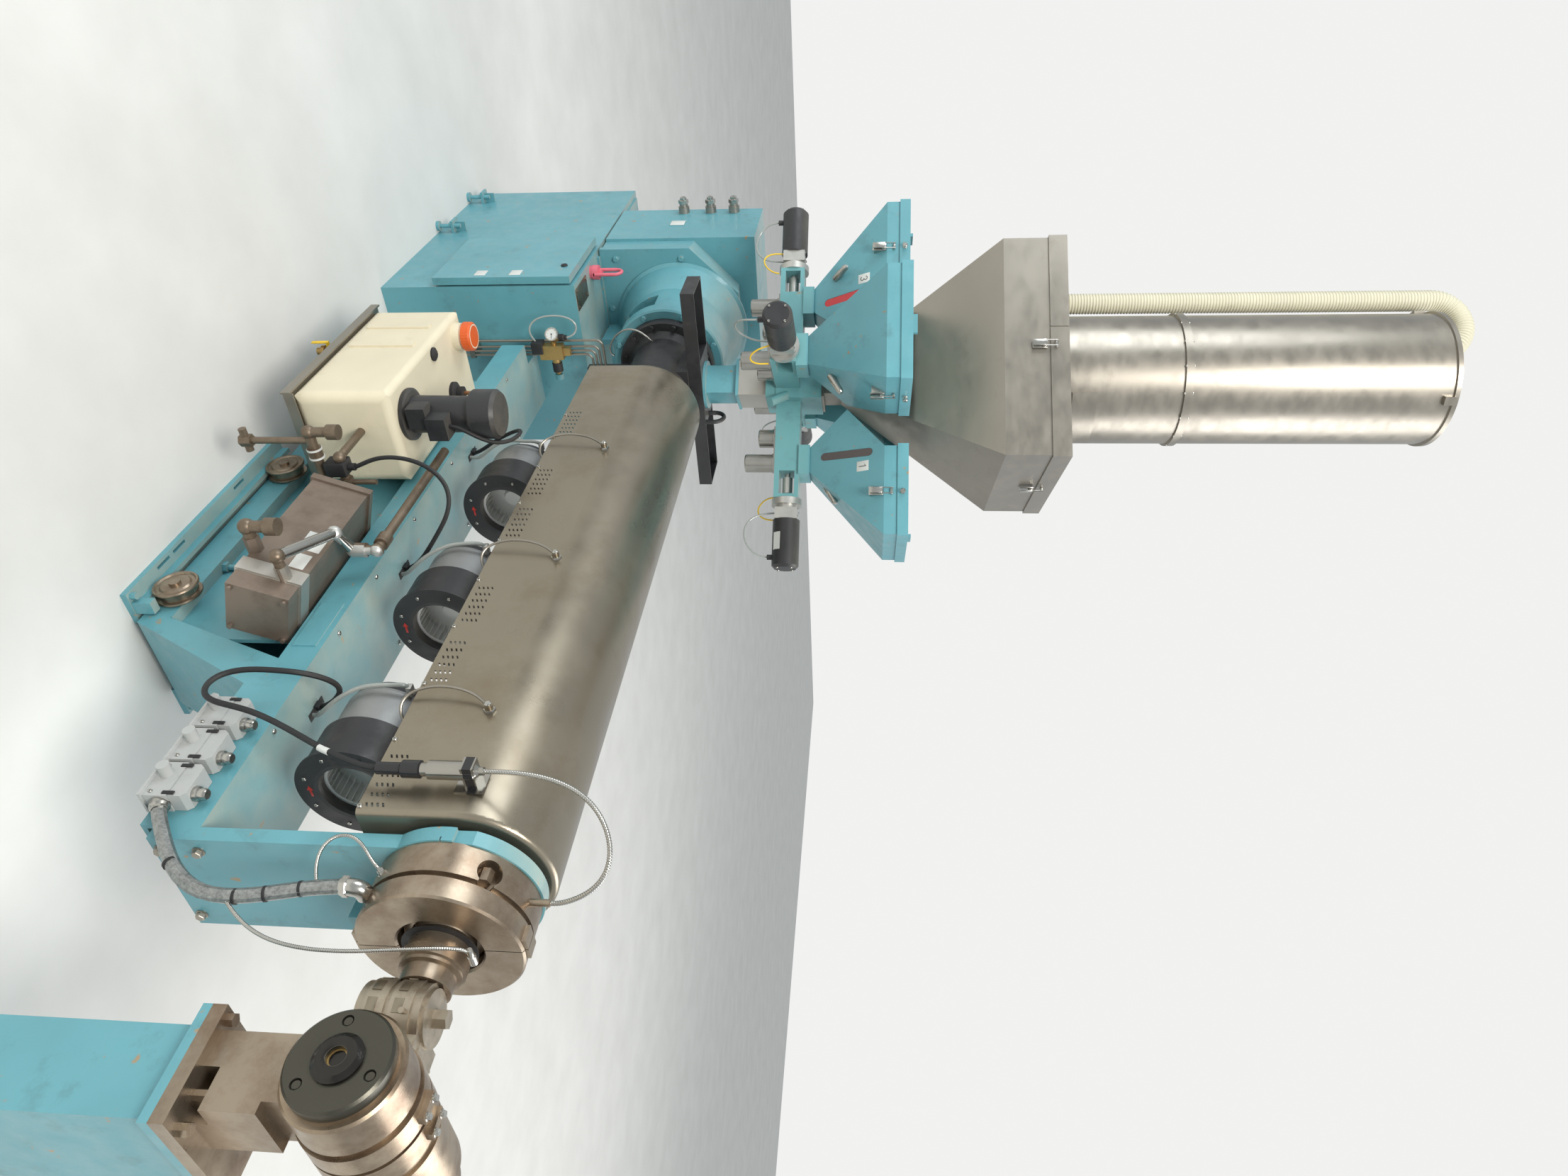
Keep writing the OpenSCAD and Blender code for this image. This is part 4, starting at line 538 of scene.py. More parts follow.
def dress_fans():
    """Screws round each mouth, a turning arrow, a nearly white liner behind the blades as painted light
    inside the housing, and the conduit to the deck.
    """
    screw_ring = 0.104
    with Piece("fan_screws", "bright") as p:
        for x in FAN_X:
            for k in range(8):
                a = math.radians(22.5 + 45 * k)
                p.screw((x, screw_ring * math.cos(a), FAN_Z + screw_ring * math.sin(a)), ALONG, 0.0044,
                        0.003)
    thick = 0.0006
    with Piece("fan_arrows", "red") as p:
        for x in FAN_X:
            p.block((x, -0.006, 0.5935), (x + thick, 0.013, 0.5985), 0.0002)
            p.rings([[(at, -0.006, 0.5890), (at, -0.006, 0.6030), (at, -0.018, 0.5960)]
                     for at in (x, x + thick)])
    # Nearly white liners behind the blades: painted light inside the shaded housings, not a part of the fans
    with Piece("fan_painted_light_liners", "wheel") as p:
        for x in FAN_X:
            p.lathe([(0.0845, -0.092), (0.0845, -0.026), (0.0835, -0.026), (0.0835, -0.092)],
                    (x, 0, FAN_Z), ALONG, 48)
    for i, (x, (to_x, to_y)) in enumerate(zip(CONDUIT_X, OUTLETS)):
        lead("fan_conduit_%d" % (i + 1), [
            (x + 0.002, -0.1015, 0.758), (x + 0.004, -0.1140, 0.752), (x + 0.010, -0.1210, 0.736),
            (x + 0.014, -0.1225, 0.700), ((x + to_x) / 2 + 0.016, -0.1190, 0.664),
            (to_x + 0.024, -0.1080, 0.628), (to_x + 0.034, -0.0860, 0.590), (to_x + 0.036, -0.0560, 0.558),
            (to_x + 0.026, to_y - 0.002, 0.534), (to_x + 0.022, to_y, 0.5215)], 0.0052, "clear")
    with Piece("conduit_clips", "alloy") as p:
        for x in CONDUIT_X:
            p.block((x - 0.006, -0.1110, 0.752), (x + 0.012, -0.0860, 0.764), 0.001)


def dress_deck():
    """Rubber lips at the cable slots, and the deck's screws."""
    with Piece("deck_outlets", "rubber") as p:
        for x, y in OUTLETS:
            p.block((x - 0.030, y - 0.010, DECK_Z - 0.0002), (x + 0.036, y + 0.010, DECK_Z + 0.0014), 0.0006)
            p.block((x - 0.011, y - 0.014, DECK_Z + 0.0005), (x + 0.011, y - 0.009, DECK_Z + 0.0130), 0.001)
    with Piece("deck_screws", "bright") as p:
        for x in (-0.30, -0.62, -0.84, -1.10, -1.40, -1.70, -1.95):
            for s in SIDES:
                p.screw((x, s * 0.108, DECK_Z), UP, 0.0062, 0.004)


def dress_support():
    """Bolts of the support plate, below on its front face and above on the raised band."""
    with Piece("support_bolts", "steel") as p:
        for y, z in ((-0.098, 0.520), (-0.100, 0.446), (0.100, 0.446)):
            p.hexbolt((0, y, z), ALONG, 0.017, 0.011)
        for y in (0.045, 0.094):
            p.hexbolt((BAND_X, y, 0.810), ALONG, 0.014, 0.009)


# Drive
def dress_gear_unit():
    """Flange bolts, the flange's lead and connector, three fittings and a blank plate."""
    with Piece("gear_bolts", "teal") as p:
        for y, z in ((-0.078, 1.204), (0.056, 1.204), (-0.268, 1.020), (0.268, 1.020), (-0.268, 0.770),
                     (0.268, 0.770), (-0.210, 1.105), (0.210, 1.105), (-0.075, 0.730)):
            p.hexbolt((FLANGE_X, y, z), ALONG, 0.019, 0.011)
    lead("flange_lead", [
        (-2.262, -0.098, 0.972), (-2.240, -0.112, 0.968), (-2.236, -0.136, 0.950), (-2.246, -0.152, 0.922),
        (-2.262, -0.156, 0.884), (-2.272, -0.140, 0.846), (-2.276, -0.110, 0.815), (-2.284, -0.075, 0.796),
        (-2.296, -0.045, 0.794), (-2.309, -0.032, 0.802)], 0.0036, "bright", ribbed=0.0036)
    with Piece("flange_connector", "bright") as p:
        p.lathe([(0.010, -0.016), (0.010, 0.002), (0.0075, 0.004), (0.0075, 0.018), (0.0055, 0.020)],
                (-2.279, -0.087, 0.975), (0.78, -0.55, -0.12), 14)
    with Piece("gear_fittings", "bright") as p:
        for z in (1.175, 1.080, 0.970):
            p.lathe([(0.0205, 0), (0.0205, 0.013), (0.017, 0.015)], (-3.075, GEAR_Y + 0.0005, z), NEAR, 6)
            p.lathe([(0.013, 0), (0.013, 0.009), (0.009, 0.011)], (-3.075, GEAR_Y - 0.0135, z), NEAR, 18)
    with Piece("gear_plate", "label") as p:
        p.block((-2.968, -0.3085, 0.936), (-2.917, -0.3068, 0.992), 0.0006)


def dress_cabinet():
    """Lock and two blank plates on the door, and the worn plate on the cabinet's top."""
    with Piece("door_lock", "rubber", body="door") as p:
        p.lathe([(0.012, 0), (0.012, 0.003), (0.010, 0.005), (0.010, 0.0045), (0.004, 0.004)],
                (-2.392, DOOR_Y - 0.0002, 0.647), NEAR)
    with Piece("door_plates", "label", body="door") as p:
        for z in (0.488, 0.361):
            p.block((-2.352, DOOR_Y - 0.0012, z - 0.020), (-2.306, DOOR_Y + 0.0002, z + 0.020), 0.0005)
    with Piece("cabinet_top_plate", "worn") as p:
        p.block((-2.440, -0.286, 0.7018), (-2.292, -0.208, 0.7052), 0.001)
        for x in (-2.428, -2.304):
            for y in (-0.276, -0.218):
                p.screw((x, y, 0.705), UP, 0.005, 0.003)


# Feed station
WALL_TOP, WALL_FOOT = (0.184, 1.790), (0.045, 1.535)        # a dosing hopper's sloping wall: reach, height
PANE_R = 0.0132                                             # half a level window's width
ARMS = ((0, 0.660), (90, 0.539), (180, 0.660), (270, 0.539))    # each arm's turn, and its motor's far end


def wall(z):
    """The y of a dosing hopper's sloping near wall at height z."""
    fall = (WALL_TOP[0] - WALL_FOOT[0]) * (WALL_TOP[1] - z) / (WALL_TOP[1] - WALL_FOOT[1])
    return fall - WALL_TOP[0]


def latch(p, x, y, z):
    """A toggle latch on a face that looks to -y, over the seam at height z."""
    p.block((x - 0.014, y - 0.0025, z - 0.062), (x + 0.014, y + 0.0005, z - 0.016), 0.0006)
    p.block((x - 0.010, y - 0.014, z - 0.060), (x + 0.010, y - 0.009, z - 0.020), 0.0015)
    p.block((x - 0.012, y - 0.012, z - 0.030), (x - 0.009, y - 0.001, z - 0.020), 0.0005)
    p.block((x + 0.009, y - 0.012, z - 0.030), (x + 0.012, y - 0.001, z - 0.020), 0.0005)
    p.tube([(x - 0.009, y - 0.010, z - 0.026), (x - 0.009, y - 0.009, z + 0.016),
            (x + 0.009, y - 0.009, z + 0.016), (x + 0.009, y - 0.010, z - 0.026)], 0.0016, 8)
    p.block((x - 0.012, y - 0.008, z + 0.008), (x + 0.012, y + 0.0005, z + 0.014), 0.001)


def dress_dosing_latches():
    """On each dosing hopper: a bracket, a toggle latch over the lid's seam, and a stud."""
    for n, (degrees, x) in enumerate(((0, 0.440), (-90, -0.361), (0, -0.415), (90, -0.361))):
        with Piece("dosing_latch_%d" % (n + 1), "bright", where=STATION @ turn(degrees)) as p:
            p.block((x - 0.012, -0.1845, 1.746), (x + 0.012, -0.1590, 1.786), 0.001)
            latch(p, x, -0.1842, 1.803)
            p.lathe([(0.0075, -0.001), (0.0075, 0.002), (0.005, 0.004), (0.005, 0.008), (0.0085, 0.010),
                     (0.0085, 0.014), (0.006, 0.016)], (x + 0.004, -0.1900, 1.850), NEAR, 16)


def write_digit(p, digit):
    """A plain 1, or a plain 3 from two open bows."""
    high, line = 0.0007, 0.0012
    if digit == 1:
        p.tube([(-0.005, 0.007, high), (0.001, 0.013, high), (0.001, -0.013, high)], line, 6)
        return
    bow = 0.0064
    for middle, first, last in ((0.0062, -70, 170), (-0.0062, 10, 250)):
        turns = [math.radians(q) for q in range(first, last + 1, 15)]
        p.tube([(bow * math.sin(t), middle + bow * math.cos(t), high) for t in turns], line, 6)


def dress_dosing_walls():
    """Level windows as panes in the CAD's recesses, and stickers with plain digits."""
    half = [math.pi * k / 10 for k in range(11)]
    for name, material, top, foot in (("window_right", "darkpane", 0.299, 0.290),
                                      ("window_left", "redpane", -0.277, -0.268)):
        outline = [(top + PANE_R * math.cos(t), 1.738 + PANE_R * math.sin(t)) for t in half]
        outline += [(foot - PANE_R * math.cos(t), 1.592 - PANE_R * math.sin(t)) for t in half]
        with Piece(name, material, where=STATION) as p:
            p.rings([[(x, wall(z) + out, z) for x, z in outline] for out in (0.0024, 0.0010)])
    for name, x, z, digit in (("sticker_left", -0.323, 1.714, 3), ("sticker_right", 0.344, 1.720, 1)):
        face = STATION @ Matrix(((1, 0, 0, x), (0, -0.479, -0.878, wall(z)), (0, 0.878, -0.479, z),
                                 (0, 0, 0, 1)))
        with Piece(name, "label", where=face) as p:
            p.block((-0.017, -0.022, -0.0004), (0.017, 0.022, 0.0007), 0.0002)
        with Piece(name + "_digit", "rubber", where=face) as p:
            write_digit(p, digit)


def dress_dosing_drives():
    """Level sensors, and on each arm the motor's screws, blank plate and two leads."""
    with Piece("level_sensors", "bright", where=STATION) as p:
        for base, aim in (((0.096, -0.290, 1.618), (0.86, -0.1, 0.5)),
                          ((-0.352, -0.092, 1.618), (-0.25, -0.8, 0.55)),
                          ((0.384, -0.020, 1.600), (0.80, -0.2, 0.45))):
            p.lathe([(0.0125, -0.006), (0.0125, 0.030), (0.0110, 0.033), (0.0110, 0.058), (0.0085, 0.062),
                     (0.006, 0.066)], base, aim)
    motor_z = 1.463
    for n, (degrees, end) in enumerate(ARMS):
        arm = STATION @ turn(degrees)
        with Piece("motor_trim_%d" % (n + 1), "bright", where=arm) as p:
            for k in range(4):
                t = math.radians(45 + 90 * k)
                p.screw((end, 0.034 * math.cos(t), motor_z + 0.034 * math.sin(t)), ALONG, 0.0042, 0.003)
            for back in (-0.202, -0.176):
                for s in SIDES:
                    p.screw((end + back, s * 0.030, 1.5010), UP, 0.0045, 0.003)
        bow = [math.radians(q) for q in (200, 212, 224, 236)]
        outline = [(0, t) for t in bow] + [(1, t) for t in reversed(bow)]
        with Piece("motor_plate_%d" % (n + 1), "label", where=arm) as p:
            p.rings([[(end - 0.12 + 0.06 * side, r * math.cos(t), motor_z + r * math.sin(t))
                      for side, t in outline] for r in (0.0463, 0.0469)])
        lead("motor_lead_%d" % (n + 1), [
            (end - 0.040, 0.0, 1.4005), (end - 0.041, 0.0, 1.386), (end - 0.048, -0.004, 1.362),
            (end - 0.072, -0.012, 1.334), (end - 0.112, -0.018, 1.318), (end - 0.154, -0.014, 1.326),
            (end - 0.182, -0.006, 1.356), (end - 0.192, 0.0, 1.392), (end - 0.194, 0.0, 1.4245)],
            0.0030, "clear", where=arm)
        lead("level_lead_%d" % (n + 1), [
            (end - 0.176, 0.022, 1.4245), (end - 0.176, 0.026, 1.408), (end - 0.182, 0.034, 1.382),
            (end - 0.200, 0.044, 1.360), (end - 0.226, 0.050, 1.358), (end - 0.248, 0.050, 1.374),
            (end - 0.260, 0.046, 1.394), (end - 0.262, 0.044, 1.4135)], 0.0026, "yellow", where=arm)


def dress_loader():
    """Latches of the main hopper, bolts of the loader's rings, and the ribbed suction hose."""
    seam = 2.305
    with Piece("hopper_latches", "bright", where=STATION) as p:
        latch(p, 0.002, -0.3225, seam)
        p.where = STATION @ turn(90)
        latch(p, 0.005, -0.3695, seam)
    with Piece("loader_bolts", "bright", where=STATION) as p:
        for z, r, way in ((LID_Z + 0.0080, 0.218, UP), (LOADER_Z - 0.0115, 0.2165, DOWN),
                          (LOADER_Z + 0.0125, 0.2165, UP)):
            for k in range(16):
                t = math.radians(22.5 * k + 11)
                p.screw((-0.011 + r * math.cos(t), r * math.sin(t), z), way, 0.0045, 0.003)
    rise_x, bend_z, bend_r, pitch = -0.293, 3.610, 0.096, 0.0025
    mouth_x, mouth_z = rise_x + 2 * bend_r, edge("loader_top", "z", HIGH) + 0.0002
    line = [(rise_x, 0, LID_Z + pitch * k) for k in range(501)]
    line += [(rise_x + bend_r - bend_r * math.cos(t), 0, bend_z + bend_r * math.sin(t))
             for t in [math.pi * k / 120 for k in range(121)]]
    line += [(mouth_x, 0, z) for z in (3.607, 3.603, mouth_z)]
    with Piece("suction_hose", "hose", where=STATION, replaced=["loader_hose"]) as p:
        p.tube(line, 0.0349, 20, (1.0, 1.0, 0.93, 0.93))
    with Piece("hose_cuffs", "rubber", where=STATION) as p:
        for x, z, rim, high in ((rise_x, LID_Z + 0.0002, 0.012, 0.014), (mouth_x, mouth_z, 0.010, 0.0115)):
            p.lathe([(0.0366, 0), (0.0366, rim), (0.0352, high)], (x, 0, z), UP, 28)


# Water unit and its cables
def dress_tank():
    """A knurled cap, the pump's foot and a small plug on the tank."""
    teeth = 64
    knurl = [0.0436 if k % 2 else 0.0424 for k in range(teeth)]

    def cap_ring(z, share):
        turns = [2 * math.pi * k / teeth for k in range(teeth)]
        return [(-1.758 + r * share * math.cos(t), -0.347 + r * share * math.sin(t), z)
                for r, t in zip(knurl, turns)]

    with Piece("tank_cap", "orange") as p:
        p.rings([cap_ring(z, share) for z, share in ((0.4985, 1), (0.5215, 1), (0.5262, 0.9), (0.5285, 0.5),
                                                     (0.5285, 0.02))])
    with Piece("tank_fittings", "rubber") as p:
        p.lathe([(0.034, -0.001), (0.034, 0.010), (0.028, 0.014), (0.020, 0.016), (0.020, 0.034),
                 (0.004, 0.036)], (-1.640, -0.215, TANK_Z), UP, 28)
        p.lathe([(0.020, -0.001), (0.020, 0.005), (0.012, 0.010), (0.001, 0.011)],
                (-1.574, -0.372, TANK_Z), UP, 24)


def run_deck_cables():
    """Black cables from the deck's slots to the probe, the exchanger's valve and the pump."""
    lead("cable_sensor_to_deck", [
        (-0.120, -0.2075, 0.8478), (-0.121, -0.2085, 0.825), (-0.130, -0.213, 0.790),
        (-0.155, -0.214, 0.730), (-0.196, -0.214, 0.655), (-0.234, -0.214, 0.580), (-0.260, -0.214, 0.515),
        (-0.272, -0.214, 0.457), (-0.290, -0.214, 0.413), (-0.325, -0.214, 0.397), (-0.360, -0.214, 0.413),
        (-0.377, -0.213, 0.458), (-0.380, -0.208, 0.515), (-0.388, -0.197, 0.556), (-0.401, -0.176, 0.588),
        (-0.418, -0.145, 0.606), (-0.434, -0.112, 0.606), (-0.444, -0.082, 0.592), (-0.448, -0.058, 0.570),
        (-0.449, -0.041, 0.547), (-0.449, -0.031, 0.5212)], 0.0062, "rubber")
    with Piece("cable_band", "label") as p:
        p.tube([(-0.150, -0.214, 0.742), (-0.155, -0.214, 0.730), (-0.161, -0.214, 0.718)], 0.0067, 14)
    lead("cable_deck_to_valve", [
        (-0.977, -0.031, 0.5212), (-0.977, -0.041, 0.547), (-0.979, -0.060, 0.572), (-0.986, -0.096, 0.602),
        (-1.002, -0.140, 0.634), (-1.024, -0.176, 0.658), (-1.052, -0.216, 0.664), (-1.080, -0.252, 0.642),
        (-1.100, -0.284, 0.590), (-1.107, -0.298, 0.526), (-1.107, -0.296, 0.466), (-1.102, -0.280, 0.428),
        (-1.100, -0.272, 0.4055)], 0.0058, "rubber")
    lead("cable_deck_to_pump", [
        (-1.553, -0.051, 0.5212), (-1.553, -0.061, 0.547), (-1.552, -0.078, 0.574), (-1.546, -0.110, 0.620),
        (-1.524, -0.146, 0.680), (-1.488, -0.170, 0.716), (-1.438, -0.188, 0.734), (-1.380, -0.202, 0.738),
        (-1.326, -0.218, 0.728), (-1.284, -0.242, 0.704), (-1.266, -0.274, 0.670), (-1.268, -0.296, 0.636),
        (-1.269, -0.300, 0.6075)], 0.0058, "rubber")


def dress_water_unit():
    """Blank plates, elbow, vent pipe, drain valve, rings and solenoid round the tank and the exchanger."""
    with Piece("exchanger_plates", "label", where=EXCHANGER) as p:
        p.block((-0.820, -0.0690, 0.010), (-0.750, -0.0677, 0.060), 0.0004)
        p.block((-0.735, -0.0690, 0.020), (-0.682, -0.0677, 0.053), 0.0004)
    with Piece("exchanger_elbow", "bright") as p:
        p.tube([(-0.8235, -0.2065, 0.4929), (-0.800, -0.268, 0.480), (-0.652, -0.3087, 0.4337)], 0.0136, 24)
    with Piece("tank_vent_pipe", "copper") as p:
        p.tube(smooth_path([
            (-1.640, -0.215, 0.503), (-1.640, -0.215, 0.540), (-1.632, -0.200, 0.572),
            (-1.618, -0.170, 0.584), (-1.606, -0.142, 0.572), (-1.600, -0.128, 0.548),
            (-1.600, -0.124, 0.5198)], 0.008), 0.006, 12)
    with Piece("drain_valve", "brass") as p:
        p.lathe([(0.010, 0), (0.010, 0.028), (0.017, 0.030), (0.017, 0.040), (0.013, 0.044), (0.013, 0.062),
                 (0.018, 0.064), (0.018, 0.074), (0.011, 0.076), (0.011, 0.090)],
                (-1.600, -0.372, 0.196), DOWN, 18)
    with Piece("drain_handle", "yellow") as p:
        p.block((-1.607, -0.399, 0.140), (-1.593, -0.385, 0.146), 0.001)
        p.block((-1.607, -0.402, 0.096), (-1.593, -0.398, 0.146), 0.001)
    with Piece("pipe_rings", "label") as p:
        for y in (-0.328, -0.304, -0.188, -0.164):
            p.lathe([(0.0196, 0), (0.0196, 0.005)], (-1.100, y, 0.310), (0, 1, 0), 24)
    with Piece("pipe_solenoid", "rubber") as p:
        p.block((-1.124, -0.292, 0.330), (-1.076, -0.252, 0.386), 0.004)
        p.lathe([(0.010, 0), (0.010, 0.020)], (-1.100, -0.272, 0.385), UP, 16)


def dress_manifold():
    """Switch box, regulator knob and lead of the valve manifold, and its gauge's dial."""
    with Piece("manifold_black", "rubber", where=MANIFOLD) as p:
        p.block((-0.0005, -0.1380, 0.5430), (0.0420, -0.0950, 0.5830), 0.003)
        p.lathe([(0.0158, -0.0205), (0.0178, -0.0190), (0.0178, 0.0135), (0.0158, 0.0150)],
                (0.017, -0.037, 0.620), (0, 1, 0), 28)
        p.lathe([(0.0125, 0), (0.0125, 0.016), (0.0085, 0.020), (0.0085, 0.028)],
                (0.008, -0.146, 0.640), UP, 18)
    with Piece("manifold_knob", "teal", where=MANIFOLD) as p:
        p.lathe([(0.0146, -0.0115), (0.0150, -0.0100), (0.0150, 0.0065), (0.0130, 0.0090), (0.0020, 0.0094)],
                (0.017, 0, 0.620), (0, 1, 0), 12)
    lead("manifold_lead", [
        (0.008, -0.146, 0.6680), (0.007, -0.149, 0.684), (0.002, -0.164, 0.704), (-0.003, -0.186, 0.708),
        (-0.005, -0.208, 0.692), (-0.004, -0.220, 0.660), (-0.002, -0.223, 0.622), (0.002, -0.219, 0.584),
        (0.008, -0.205, 0.553), (0.016, -0.182, 0.540), (0.019, -0.160, 0.542), (0.020, -0.1375, 0.5560)],
        0.0032, "clear", where=MANIFOLD)
    middle = (0, 0, 0)
    with Piece("gauge_rim", "bright", where=GAUGE) as p:
        p.lathe([(0.0240, 0.010), (0.0245, 0.024), (0.0238, 0.0285), (0.0205, 0.0290), (0.0200, 0.0262)],
                middle, UP, 32)
    with Piece("gauge_dial", "label", where=GAUGE) as p:
        p.lathe([(0.0203, 0.0255), (0.0203, 0.0266)], middle, UP, 32)
    with Piece("gauge_needle", "rubber", where=GAUGE) as p:
        p.block((-0.0008, -0.003, 0.0266), (0.0008, 0.0150, 0.0272), 0.0002)
        p.lathe([(0.0025, 0.0264), (0.0025, 0.0280)], middle, UP, 14)
        tick, tick_ring = 0.0008, 0.0165
        for k in range(9):
            t = math.radians(-45 + 33.75 * k)
            x, y = tick_ring * math.cos(t), tick_ring * math.sin(t)
            p.block((x - tick, y - tick, 0.0264), (x + tick, y + tick, 0.0268), 0.0001)


def dress_junction_box():
    """Clips, glands and screws of the three hoods."""
    with Piece("hood_clips", "rubber") as p:
        for x in HOOD_X:
            for e in (0.004, 0.072):
                p.block((x + e, -0.1768, 0.438), (x + e + 0.008, -0.1738, 0.462), 0.001)
    with Piece("hood_glands", "bright") as p:
        for x in HOOD_X:
            p.lathe([(0.0150, -0.001), (0.0150, 0.010), (0.012, 0.012), (0.012, 0.022), (0.0095, 0.026)],
                    (x + 0.058, -0.152, 0.4835), UP, 12)
            for e in (0.010, 0.074):
                p.screw((x + e, -0.1750, 0.414), NEAR, 0.004, 0.003)


# Head and die
def run_head_leads():
    """The head's sensor lead, the braided lead down to the junction box, and the neck's thin lead."""
    lead("head_sensor_lead", [
        (0.0340, -0.1160, 0.8860), (0.0270, -0.1270, 0.8740), (0.0120, -0.1430, 0.8600),
        (-0.0010, -0.1520, 0.8420), (-0.0070, -0.1550, 0.8200), (0.0000, -0.1550, 0.7990),
        (0.0180, -0.1520, 0.7860), (0.0420, -0.1430, 0.7830), (0.0640, -0.1320, 0.7880),
        (0.0830, -0.1230, 0.7960)], 0.0034, "bright", ribbed=0.0036)
    lead("braided_lead", [
        (0.0800, -0.1220, 0.8430), (0.0830, -0.1220, 0.8050), (0.0900, -0.1220, 0.7600),
        (0.1030, -0.1230, 0.7100), (0.1120, -0.1250, 0.6600), (0.1130, -0.1290, 0.6100),
        (0.0960, -0.1360, 0.5620), (0.0630, -0.1440, 0.5220), (0.0220, -0.1500, 0.4880),
        (-0.0120, -0.1530, 0.4620), (-0.0300, -0.1535, 0.4480), (-0.0440, -0.1535, 0.4390)], 0.0135, "braid")
    with Piece("braided_lead_ties", "rubber") as p:
        for ends in (((0.0880, -0.1220, 0.772), (0.0888, -0.1220, 0.767)),
                     ((0.1020, -0.1230, 0.714), (0.1030, -0.1231, 0.709)),
                     ((0.1115, -0.1248, 0.664), (0.1119, -0.1250, 0.659)),
                     ((0.0640, -0.1438, 0.523), (0.0605, -0.1444, 0.519))):
            p.tube(ends, 0.0142, 16)
    with Piece("braided_lead_elbow", "bright") as p:
        p.tube(smooth_path([(0.0790, -0.0980, 0.8760), (0.0795, -0.1100, 0.8760), (0.0798, -0.1190, 0.8690),
                            (0.0800, -0.1220, 0.8580), (0.0800, -0.1220, 0.8400)], 0.004), 0.0160, 18)
        p.lathe([(0.0190, 0), (0.0190, 0.010), (0.0165, 0.013)], (0.0800, -0.1220, 0.8420), UP, 6)
        p.lathe([(0.0185, 0), (0.0185, 0.012), (0.0150, 0.016), (0.0150, 0.022)], (-0.0645, -0.1535, 0.4290),
                (0.88, 0, 0.47), 16)
    lead("neck_lead", [
        (0.1600, -0.0610, 1.0850), (0.1640, -0.0790, 1.0800), (0.1720, -0.0930, 1.0500),
        (0.1820, -0.1000, 0.9900), (0.1930, -0.1050, 0.9200), (0.1990, -0.1100, 0.8600),
        (0.1970, -0.1150, 0.8000), (0.1850, -0.1190, 0.7450), (0.1620, -0.1220, 0.7000),
        (0.1350, -0.1240, 0.6640), (0.1130, -0.1255, 0.6400)], 0.0036, "bright", ribbed=0.0038)
    with Piece("neck_lead_plug", "bright") as p:
        p.lathe([(0.0080, -0.016), (0.0080, 0.004), (0.0060, 0.006), (0.0060, 0.020), (0.0048, 0.022)],
                (0.1600, -0.0500, 1.0850), NEAR, 12)
    with Piece("head_nipples", "bright") as p:
        p.lathe([(0.0095, -0.014), (0.0095, 0.004), (0.007, 0.006), (0.007, 0.012), (0.005, 0.014)],
                (0.0400, -0.1070, 0.8960), (-0.42, -0.62, -0.66), 12)


def dress_head():
    """A thin dark ring as painted shade in the neck's gap, the die's collar and sleeve, the valve's heater
    bands and the die's bolts.
    """
    # A thin black ring that paints the shade in the gap at the neck
    with Piece("neck_gap_painted_shade", "rubber") as p:
        p.lathe([(0.0700, 0), (0.0700, 0.0008), (0.0565, 0.0008)],
                (edge("clamp_ring", "x", HIGH), 0, AXIS_Z), ALONG, 40)
    die_mouth = (0.414, -0.181, AXIS_Z)
    with Piece("die_collar", "polished") as p:
        p.lathe([(0.0150, 0.001), (0.0150, 0.0095), (0.0165, 0.0104), (0.0300, 0.0104), (0.0383, 0.0044),
                 (0.0383, 0.0005), (0.0305, 0.0005)], die_mouth, NEAR, 44)
    with Piece("die_sleeve", "brass") as p:
        p.lathe([(0.0149, -0.055), (0.0149, 0.002), (0.0126, 0.002), (0.0126, -0.055)], die_mouth, NEAR, 32)
    with Piece("valve_bands", "sheet") as p:
        for k in range(9):
            for z in (0.944, 0.990):
                p.where = ROW @ shift(0.246, 0, z) @ turn(-150 + 36 * k)
                p.block((0.0592, -0.012, -0.004), (0.0612, 0.012, 0.012), 0.0006)
    with Piece("die_band_bolts", "bright") as p:
        for y in (-0.052, -0.002):
            for x in (0.400, 0.428):
                p.hexbolt((x, y, 1.1048), UP, 0.010, 0.007)


# Stage
FLOOR_HALF = 20


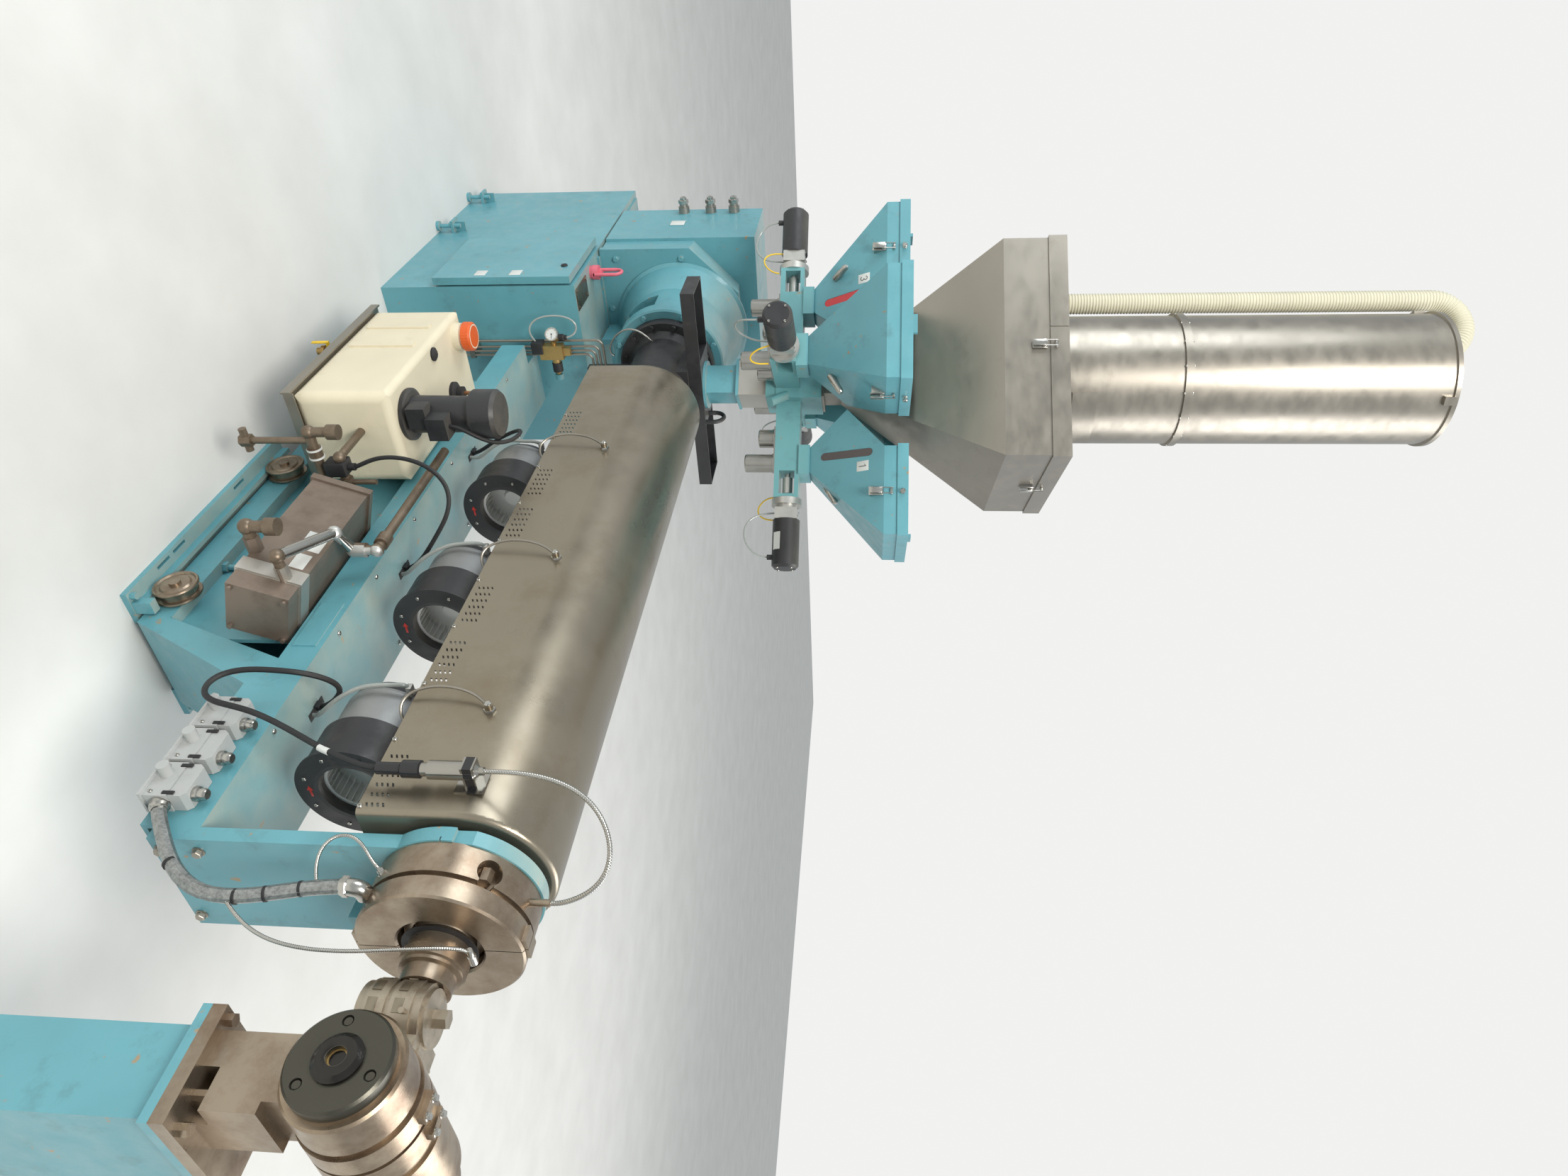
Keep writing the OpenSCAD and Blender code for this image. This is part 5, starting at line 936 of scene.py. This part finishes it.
def make_floor():
    h = FLOOR_HALF
    mesh = bpy.data.meshes.new("floor")
    mesh.from_pydata([(-h, -h, 0), (h, -h, 0), (h, h, 0), (-h, h, 0)], [], [(0, 1, 2, 3)])
    floor = bpy.data.objects.new("floor", mesh)
    bpy.context.scene.collection.objects.link(floor)
    n = Nodes("floor")
    tone = n.ramp(n.noise(3, 6), [(0.2, (0.62, 0.61, 0.58, 1)), (0.8, (0.72, 0.71, 0.68, 1))])
    n.link(tone, n.bsdf.inputs["Base Color"])
    n.bsdf.inputs["Roughness"].default_value = 0.75
    mesh.materials.append(n.mat)


def make_world():
    """Soft cool light from all round, and a plain pale backdrop for the camera."""
    world = bpy.data.worlds.new("world")
    bpy.context.scene.world = world
    world.use_nodes = True
    tree = world.node_tree
    tree.nodes.clear()
    out = tree.nodes.new("ShaderNodeOutputWorld")
    mix = tree.nodes.new("ShaderNodeMixShader")
    path = tree.nodes.new("ShaderNodeLightPath")
    tree.links.new(path.outputs["Is Camera Ray"], mix.inputs[0])
    for socket, color, strength in ((mix.inputs[1], (0.92, 0.97, 1.0, 1), 0.62),
                                    (mix.inputs[2], (0.93, 0.93, 0.92, 1), 0.95)):
        light = tree.nodes.new("ShaderNodeBackground")
        light.inputs[0].default_value = color
        light.inputs[1].default_value = strength
        tree.links.new(light.outputs[0], socket)
    tree.links.new(mix.outputs[0], out.inputs[0])


def lamp(name, place, aim, size, power, color=(1, 1, 1)):
    data = bpy.data.lights.new(name, "AREA")
    data.shape = "DISK"
    data.size = size
    data.energy = power
    data.color = color
    o = bpy.data.objects.new(name, data)
    bpy.context.scene.collection.objects.link(o)
    o.location = place
    o.rotation_euler = (Vector(aim) - Vector(place)).to_track_quat("-Z", "Y").to_euler()


run_sensor_leads()
dress_cover()
dress_fans()
dress_deck()
dress_support()
dress_gear_unit()
dress_cabinet()
dress_dosing_latches()
dress_dosing_walls()
dress_dosing_drives()
dress_loader()
dress_tank()
run_deck_cables()
run_head_leads()
dress_water_unit()
dress_manifold()
dress_junction_box()
dress_head()
make_floor()
make_world()
lamp("key", (4.5, -3.0, 6.0), (0, 0, 1.0), 3.0, 420, (1.0, 0.97, 0.92))
lamp("fill", (-2.0, -6.0, 3.5), (-0.2, 0, 1.2), 4.0, 200, (0.92, 0.97, 1.0))
lamp("back", (2.0, 5.0, 5.0), (0, 0, 1.4), 4.0, 200)

scene = bpy.context.scene
scene.view_settings.view_transform = "Standard"
